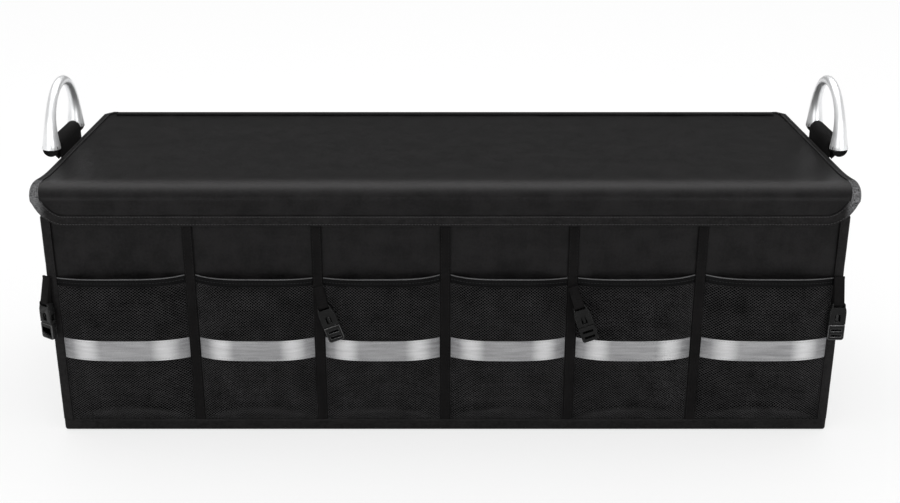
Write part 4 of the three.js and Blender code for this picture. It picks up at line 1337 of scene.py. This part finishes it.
@dataclass
class Handle:
    """Webbing roll, turned bar and aluminium bail at one end. The axle is at x and z, and lean is degrees."""

    looks: Finishes
    side: str
    x: float = 463.4
    z: float = 313.0
    spacing: float = 104.0
    straight: float = 16.5
    tube: float = 11.0
    bell: float = 21.6
    flare: float = 60.0
    roll: float = 9.0
    knuckle: float = 11.0
    lean: float = 2.5
    rod: float = 4.0
    wall: float = 448.8
    lid_side: float = 454.4
    strap: float = 3.0
    strap_half: float = 42.2
    gather: float = 0.955

    def place(self, points: np.ndarray) -> np.ndarray:
        """Moves points, in millimetres round the axle, to this end, in metres."""
        moved = points + np.array([self.x, 0, self.z])
        if self.side == "left":
            moved = moved * np.array([-1, -1, 1])
        return moved * MM

    def bail(self) -> None:
        """A ring is drawn up one leg, spun round the arch and drawn down the other leg."""
        radius = self.spacing / 2
        steps = np.linspace(0, self.straight, 4)
        bpy.ops.mesh.primitive_circle_add(vertices=32, radius=self.widths(0.0) / 2)
        piece = bpy.context.object
        put_points(piece, points_of(piece) + np.array([0, -radius, 0]))
        with editing(piece):
            for low, high in zip(steps[:-1], steps[1:]):
                scale = self.widths(high) / self.widths(low)
                bpy.ops.mesh.extrude_region_move(TRANSFORM_OT_translate={"value": (0, 0, high - low)})
                bpy.ops.transform.resize(value=(scale, scale, 1), center_override=(0, -radius, high))
            bpy.ops.mesh.spin(
                steps=36, angle=math.pi, center=(0, 0, self.straight), axis=(1, 0, 0), use_auto_merge=False,
            )
            for low, high in zip(steps[::-1][:-1], steps[::-1][1:]):
                bpy.ops.mesh.extrude_region_move(TRANSFORM_OT_translate={"value": (0, 0, high - low)})
            bpy.ops.mesh.select_all(action="SELECT")
            bpy.ops.mesh.fill_holes(sides=0)
            bpy.ops.mesh.normals_make_consistent(inside=False)
        points = points_of(piece)
        _, y, z = points.T
        arch = z > self.straight + 1e-4
        angle = np.arctan2(z - self.straight, -y).clip(0, math.pi)
        along = np.where(arch, self.straight + angle * radius, z)
        along = np.where(arch, np.minimum(along, 2 * self.straight + math.pi * radius - along), along)
        drawn = self.widths(np.where(arch | (y > 0), self.straight, z))
        centre = np.zeros_like(points)
        centre[:, 1] = np.where(arch, -radius * np.cos(angle), np.sign(y) * radius)
        centre[:, 2] = np.where(arch, self.straight + radius * np.sin(angle), z)
        points = centre + (points - centre) * (self.widths(along) / drawn)[:, None]
        turn = math.radians(-self.lean)
        turned = points.copy()
        turned[:, 0] = points[:, 0] * math.cos(turn) + points[:, 2] * math.sin(turn)
        turned[:, 2] = -points[:, 0] * math.sin(turn) + points[:, 2] * math.cos(turn)
        put_points(piece, self.place(turned))
        for end in (-1, 1):
            bpy.ops.mesh.primitive_cylinder_add(vertices=48, radius=self.roll + 0.3, depth=self.knuckle + 0.8)
            cutter = bpy.context.object
            points = points_of(cutter)[:, [0, 2, 1]] * np.array([1, 1, -1]) + np.array([0, end * radius, 0])
            put_points(cutter, self.place(points))
            apply(piece, "BOOLEAN", operation="DIFFERENCE", object=cutter, solver="EXACT")
            bpy.data.objects.remove(cutter)
        bevel(piece, 0.5, angle=35.0)
        finish(
            piece, f"{self.side}_bail", self.looks.metal, f"{self.side}_handle",
            [f"{self.side}_handle_bail"], angle=30.0,
        )

    def widths(self, along: "np.ndarray | float") -> "np.ndarray | float":
        """Diameters of the tube at ways along its line, which opens like a bell towards its nearer foot."""
        rest = np.clip(1 - along / self.flare, 0, 1)
        return self.tube + (self.bell - self.tube) * rest ** 2.0

    def bar(self) -> None:
        """Rod with a round knuckle at each end, whose rims are rounded and whose faces are dished."""
        reach = self.spacing / 2
        bpy.ops.mesh.primitive_cylinder_add(vertices=40, radius=self.rod, depth=2 * reach)
        parts = [bpy.context.object]
        for end in (-1, 1):
            bpy.ops.mesh.primitive_cylinder_add(
                vertices=48, radius=self.roll, depth=self.knuckle, location=(0, 0, end * reach),
            )
            bpy.ops.object.transform_apply(location=True)
            part = bpy.context.object
            with editing(part, "FACE", everything=False):
                bpy.ops.mesh.select_all(action="DESELECT")
            caps = [abs(face.normal.z) > 0.9 for face in part.data.polygons]
            part.data.polygons.foreach_set("select", caps)
            with editing(part, "FACE", everything=False):
                bpy.ops.mesh.inset(thickness=2.6)
                bpy.ops.mesh.inset(thickness=0.4, depth=-0.5)
            parts.append(part)
        piece = join(parts)
        points = points_of(piece)[:, [0, 2, 1]] * np.array([1, 1, -1])
        put_points(piece, self.place(points))
        bevel(piece, 1.4, 4)
        finish(
            piece, f"{self.side}_bar", self.looks.bar, f"{self.side}_handle",
            [f"{self.side}_handle_bar"], angle=35.0,
        )

    def tab(self) -> None:
        """Webbing strap sewn to the side wall, led round the lid's edge and rolled over the bar."""
        wall, neck, mid = self.wall - self.x, self.lid_side - self.x, self.roll - self.strap / 2
        path = [(wall + 1.5, z - self.z) for z in np.linspace(212, 283, 12)]
        path += [(wall + 2.4, 287 - self.z), (neck + 0.6, 291.5 - self.z), (neck + 1.5, 295.5 - self.z)]
        path += [(neck + 1.5, z - self.z) for z in np.linspace(299, 310, 4)]
        path += [(mid * math.cos(a), mid * math.sin(a)) for a in np.radians(np.linspace(178, -48, 26))]
        path += [(-1.2, -12.2), (neck + 4.6, -15.5)]
        line = np.array(path)
        half, edge = self.strap_half, self.strap / 2
        across = np.linspace(-half, half, 22)
        profile = [(y, edge) for y in across] + [(half + 0.5, 0.0)] + [(y, -edge) for y in across[::-1]]
        profile += [(-half - 0.5, 0.0)]
        rows = np.array([
            [(at[0] + out[0] * v, u * self.gather, at[1] + out[1] * v) for u, v in profile]
            for at, out in zip(line, normals_of(line))
        ])
        piece = loft(rows, across_closed=True)
        put_points(piece, self.place(points_of(piece) / MM))
        finish(
            piece, f"{self.side}_strap_roll", self.looks.webbing,
            nodes=[f"{self.side}_handle_tab"],
        )
        outer = wall + 3.05
        left, right, low, high = -36, 36, 217, 277
        square = [(left, low), (right, low), (right, high), (left, high), (left, low)]
        rows = []
        for line in (square, [(left, low), (right, high)], [(left, high), (right, low)]):
            seam = [(outer, y, z - self.z) for y, z in line]
            rows.append(stitches(self.place(np.array(seam, float)) / MM, pitch=3.6, length=2.5))
        finish(join(rows), f"{self.side}_strap_stitching", self.looks.black_yarn)

    def build(self) -> None:
        """Makes the roll, the bar and the bail."""
        self.tab()
        self.bar()
        self.bail()


# The buckles


@dataclass
class Buckle:
    """One side-release buckle on its short strap."""

    looks: Finishes
    name: str

    def build(self) -> None:
        """Rounds off the moulded halves and the strap."""
        for part, body in (("socket", "root"), ("plug", f"{self.name}_plug")):
            node = f"{self.name}_buckle_{part}"
            piece = solid_of(node)
            dress(piece, self.looks.plastic, self.looks.edge)
            # The bevels get the edge finish: glossier, and lighter in colour as a painted glint.
            bevel(piece, 0.45, look=1)
            finish(piece, f"{self.name}_{part}", self.looks.plastic, body, [node], angle=35.0)
        node = f"{self.name}_buckle_strap"
        piece = solid_of(node)
        bevel(piece, 0.25)
        finish(piece, f"{self.name}_strap", self.looks.webbing, "root", [node], angle=35.0, uv=True)


# The studio


@dataclass(frozen=True)
class Studio:
    """Floor, light and camera. The camera's values come from a fit to the photograph, whose width is in pixels."""

    glossy_loss: float = 0.84
    floor_glow: float = 0.68
    lens: float = 50.25
    sensor: float = 36.0
    photo_width: float = 900.0
    shift: tuple[float, float] = (4.8, 0.9)
    camera_place: tuple[float, float, float] = (0.0, -1.4775, 0.727)
    pitch_down: float = 20.93

    def floor(self) -> None:
        """A plain white floor that keeps the object's shadow."""
        bpy.ops.mesh.primitive_plane_add(size=24, location=(0, 0, -0.0006))
        bpy.ops.object.transform_apply(location=True)
        plane = bpy.context.object
        plane.name = "studio_floor"
        graph = Graph("studio_floor")
        graph.set(Base_Color=(0.93, 0.93, 0.93, 1), Roughness=0.8, Specular_IOR_Level=0.1)
        seen = graph.node("ShaderNodeLightPath").outputs["Is Camera Ray"]
        glow = graph.node("ShaderNodeEmission", {}, {"Color": (1, 1, 1, 1), "Strength": 1.0})
        mixed = graph.node("ShaderNodeMixShader", {}, {
            0: Wire(graph, seen) * self.floor_glow,
            1: Wire(graph, graph.shader.outputs[0]),
            2: Wire(graph, glow.outputs[0]),
        })
        graph.join(graph.tree.nodes["Material Output"].inputs["Surface"], Wire(graph, mixed.outputs[0]))
        dress(plane, graph.block)

    def lamp(
        self, name: str, place: Sequence[float], aim: Sequence[float], size: Sequence[float], power: float,
        lights: bool = True,
    ) -> None:
        """A rectangular soft box.

        Args:
            name: Its name.
            place: Where it stands, in metres.
            aim: What it looks at, in metres.
            size: Width and height, in metres.
            power: Watts.
            lights: Whether it lights the object, or is only a card that shows in glossy surfaces.
        """
        light = bpy.data.lights.new(name, "AREA")
        light.shape = "RECTANGLE"
        light.size, light.size_y = size
        light.energy = power
        lamp = bpy.data.objects.new(name, light)
        lamp.location = place
        lamp.rotation_euler = (Vector(aim) - Vector(place)).to_track_quat("-Z", "Y").to_euler()
        lamp.visible_camera = False
        lamp.visible_diffuse = lights
        bpy.context.scene.collection.objects.link(lamp)

    def light(self) -> None:
        """Soft boxes overhead and in front, cards that only show as reflections, and a white world."""
        near_fold = (0, -0.16, 0.3)
        self.lamp("top_box", (0, 0.8, 2.6), (0, 0, 0.3), (3.0, 1.5), 10)
        self.lamp("fold_light", (0, 1.1, 2.25), near_fold, (3.6, 1.4), 36, False)
        self.lamp("fold_fill", (0, -0.7, 2.6), near_fold, (3.6, 2.4), 38, False)
        self.lamp("front_box", (0, -3.0, 2.0), (0, -0.1, 0.2), (3.0, 1.0), 14)
        for side in (-1, 1):
            self.lamp(f"strip_light_{side}", (side * 1.5, -2.7, 0.7), (0, -0.15, 0.15), (0.5, 1.4), 22, False)
            self.lamp(f"side_card_{side}", (side * 2.6, 0.2, 1.1), (0, 0, 0.4), (4.0, 2.2), 14, False)
        self.lamp("front_card", (0, -3.6, 1.4), (0, 0, 0.3), (5.0, 1.6), 18, False)
        world = Graph("studio", "worlds", "Background")
        path = world.node("ShaderNodeLightPath").outputs
        seen, shiny = (Wire(world, path[name]) for name in ("Is Camera Ray", "Is Glossy Ray"))
        world.set(Color=(1, 1, 1, 1), Strength=world.math("MAXIMUM", seen, 1.0 - shiny * self.glossy_loss))
        bpy.context.scene.world = world.block

    def camera(self) -> None:
        """The camera at the photograph's place."""
        data = bpy.data.cameras.new("camera")
        data.lens, data.sensor_width, data.sensor_fit = self.lens, self.sensor, "HORIZONTAL"
        data.shift_x, data.shift_y = (pixels / self.photo_width for pixels in self.shift)
        data.clip_start, data.clip_end = 0.05, 60.0
        camera = bpy.data.objects.new("camera", data)
        camera.location = self.camera_place
        camera.rotation_euler = (math.radians(90 - self.pitch_down), 0, 0)
        bpy.context.scene.collection.objects.link(camera)
        bpy.context.scene.camera = camera

    def build(self) -> None:
        """Sets the studio up."""
        self.camera()
        self.floor()
        self.light()
        bpy.context.scene.view_settings.view_transform = "Standard"


def main() -> None:
    """Builds the studio and every sub-assembly."""
    logging.basicConfig(level=logging.INFO, format="%(message)s")
    Studio().build()
    looks = Finishes()
    Box(looks).build()
    for pocket in pockets():
        pocket.build(looks)
    Lid(looks).build()
    for side in ("left", "right"):
        Handle(looks, side).build()
    for name in ("left_corner", "left_middle", "right_middle", "right_corner"):
        Buckle(looks, name).build()
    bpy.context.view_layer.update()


if __name__ == "__main__":
    main()
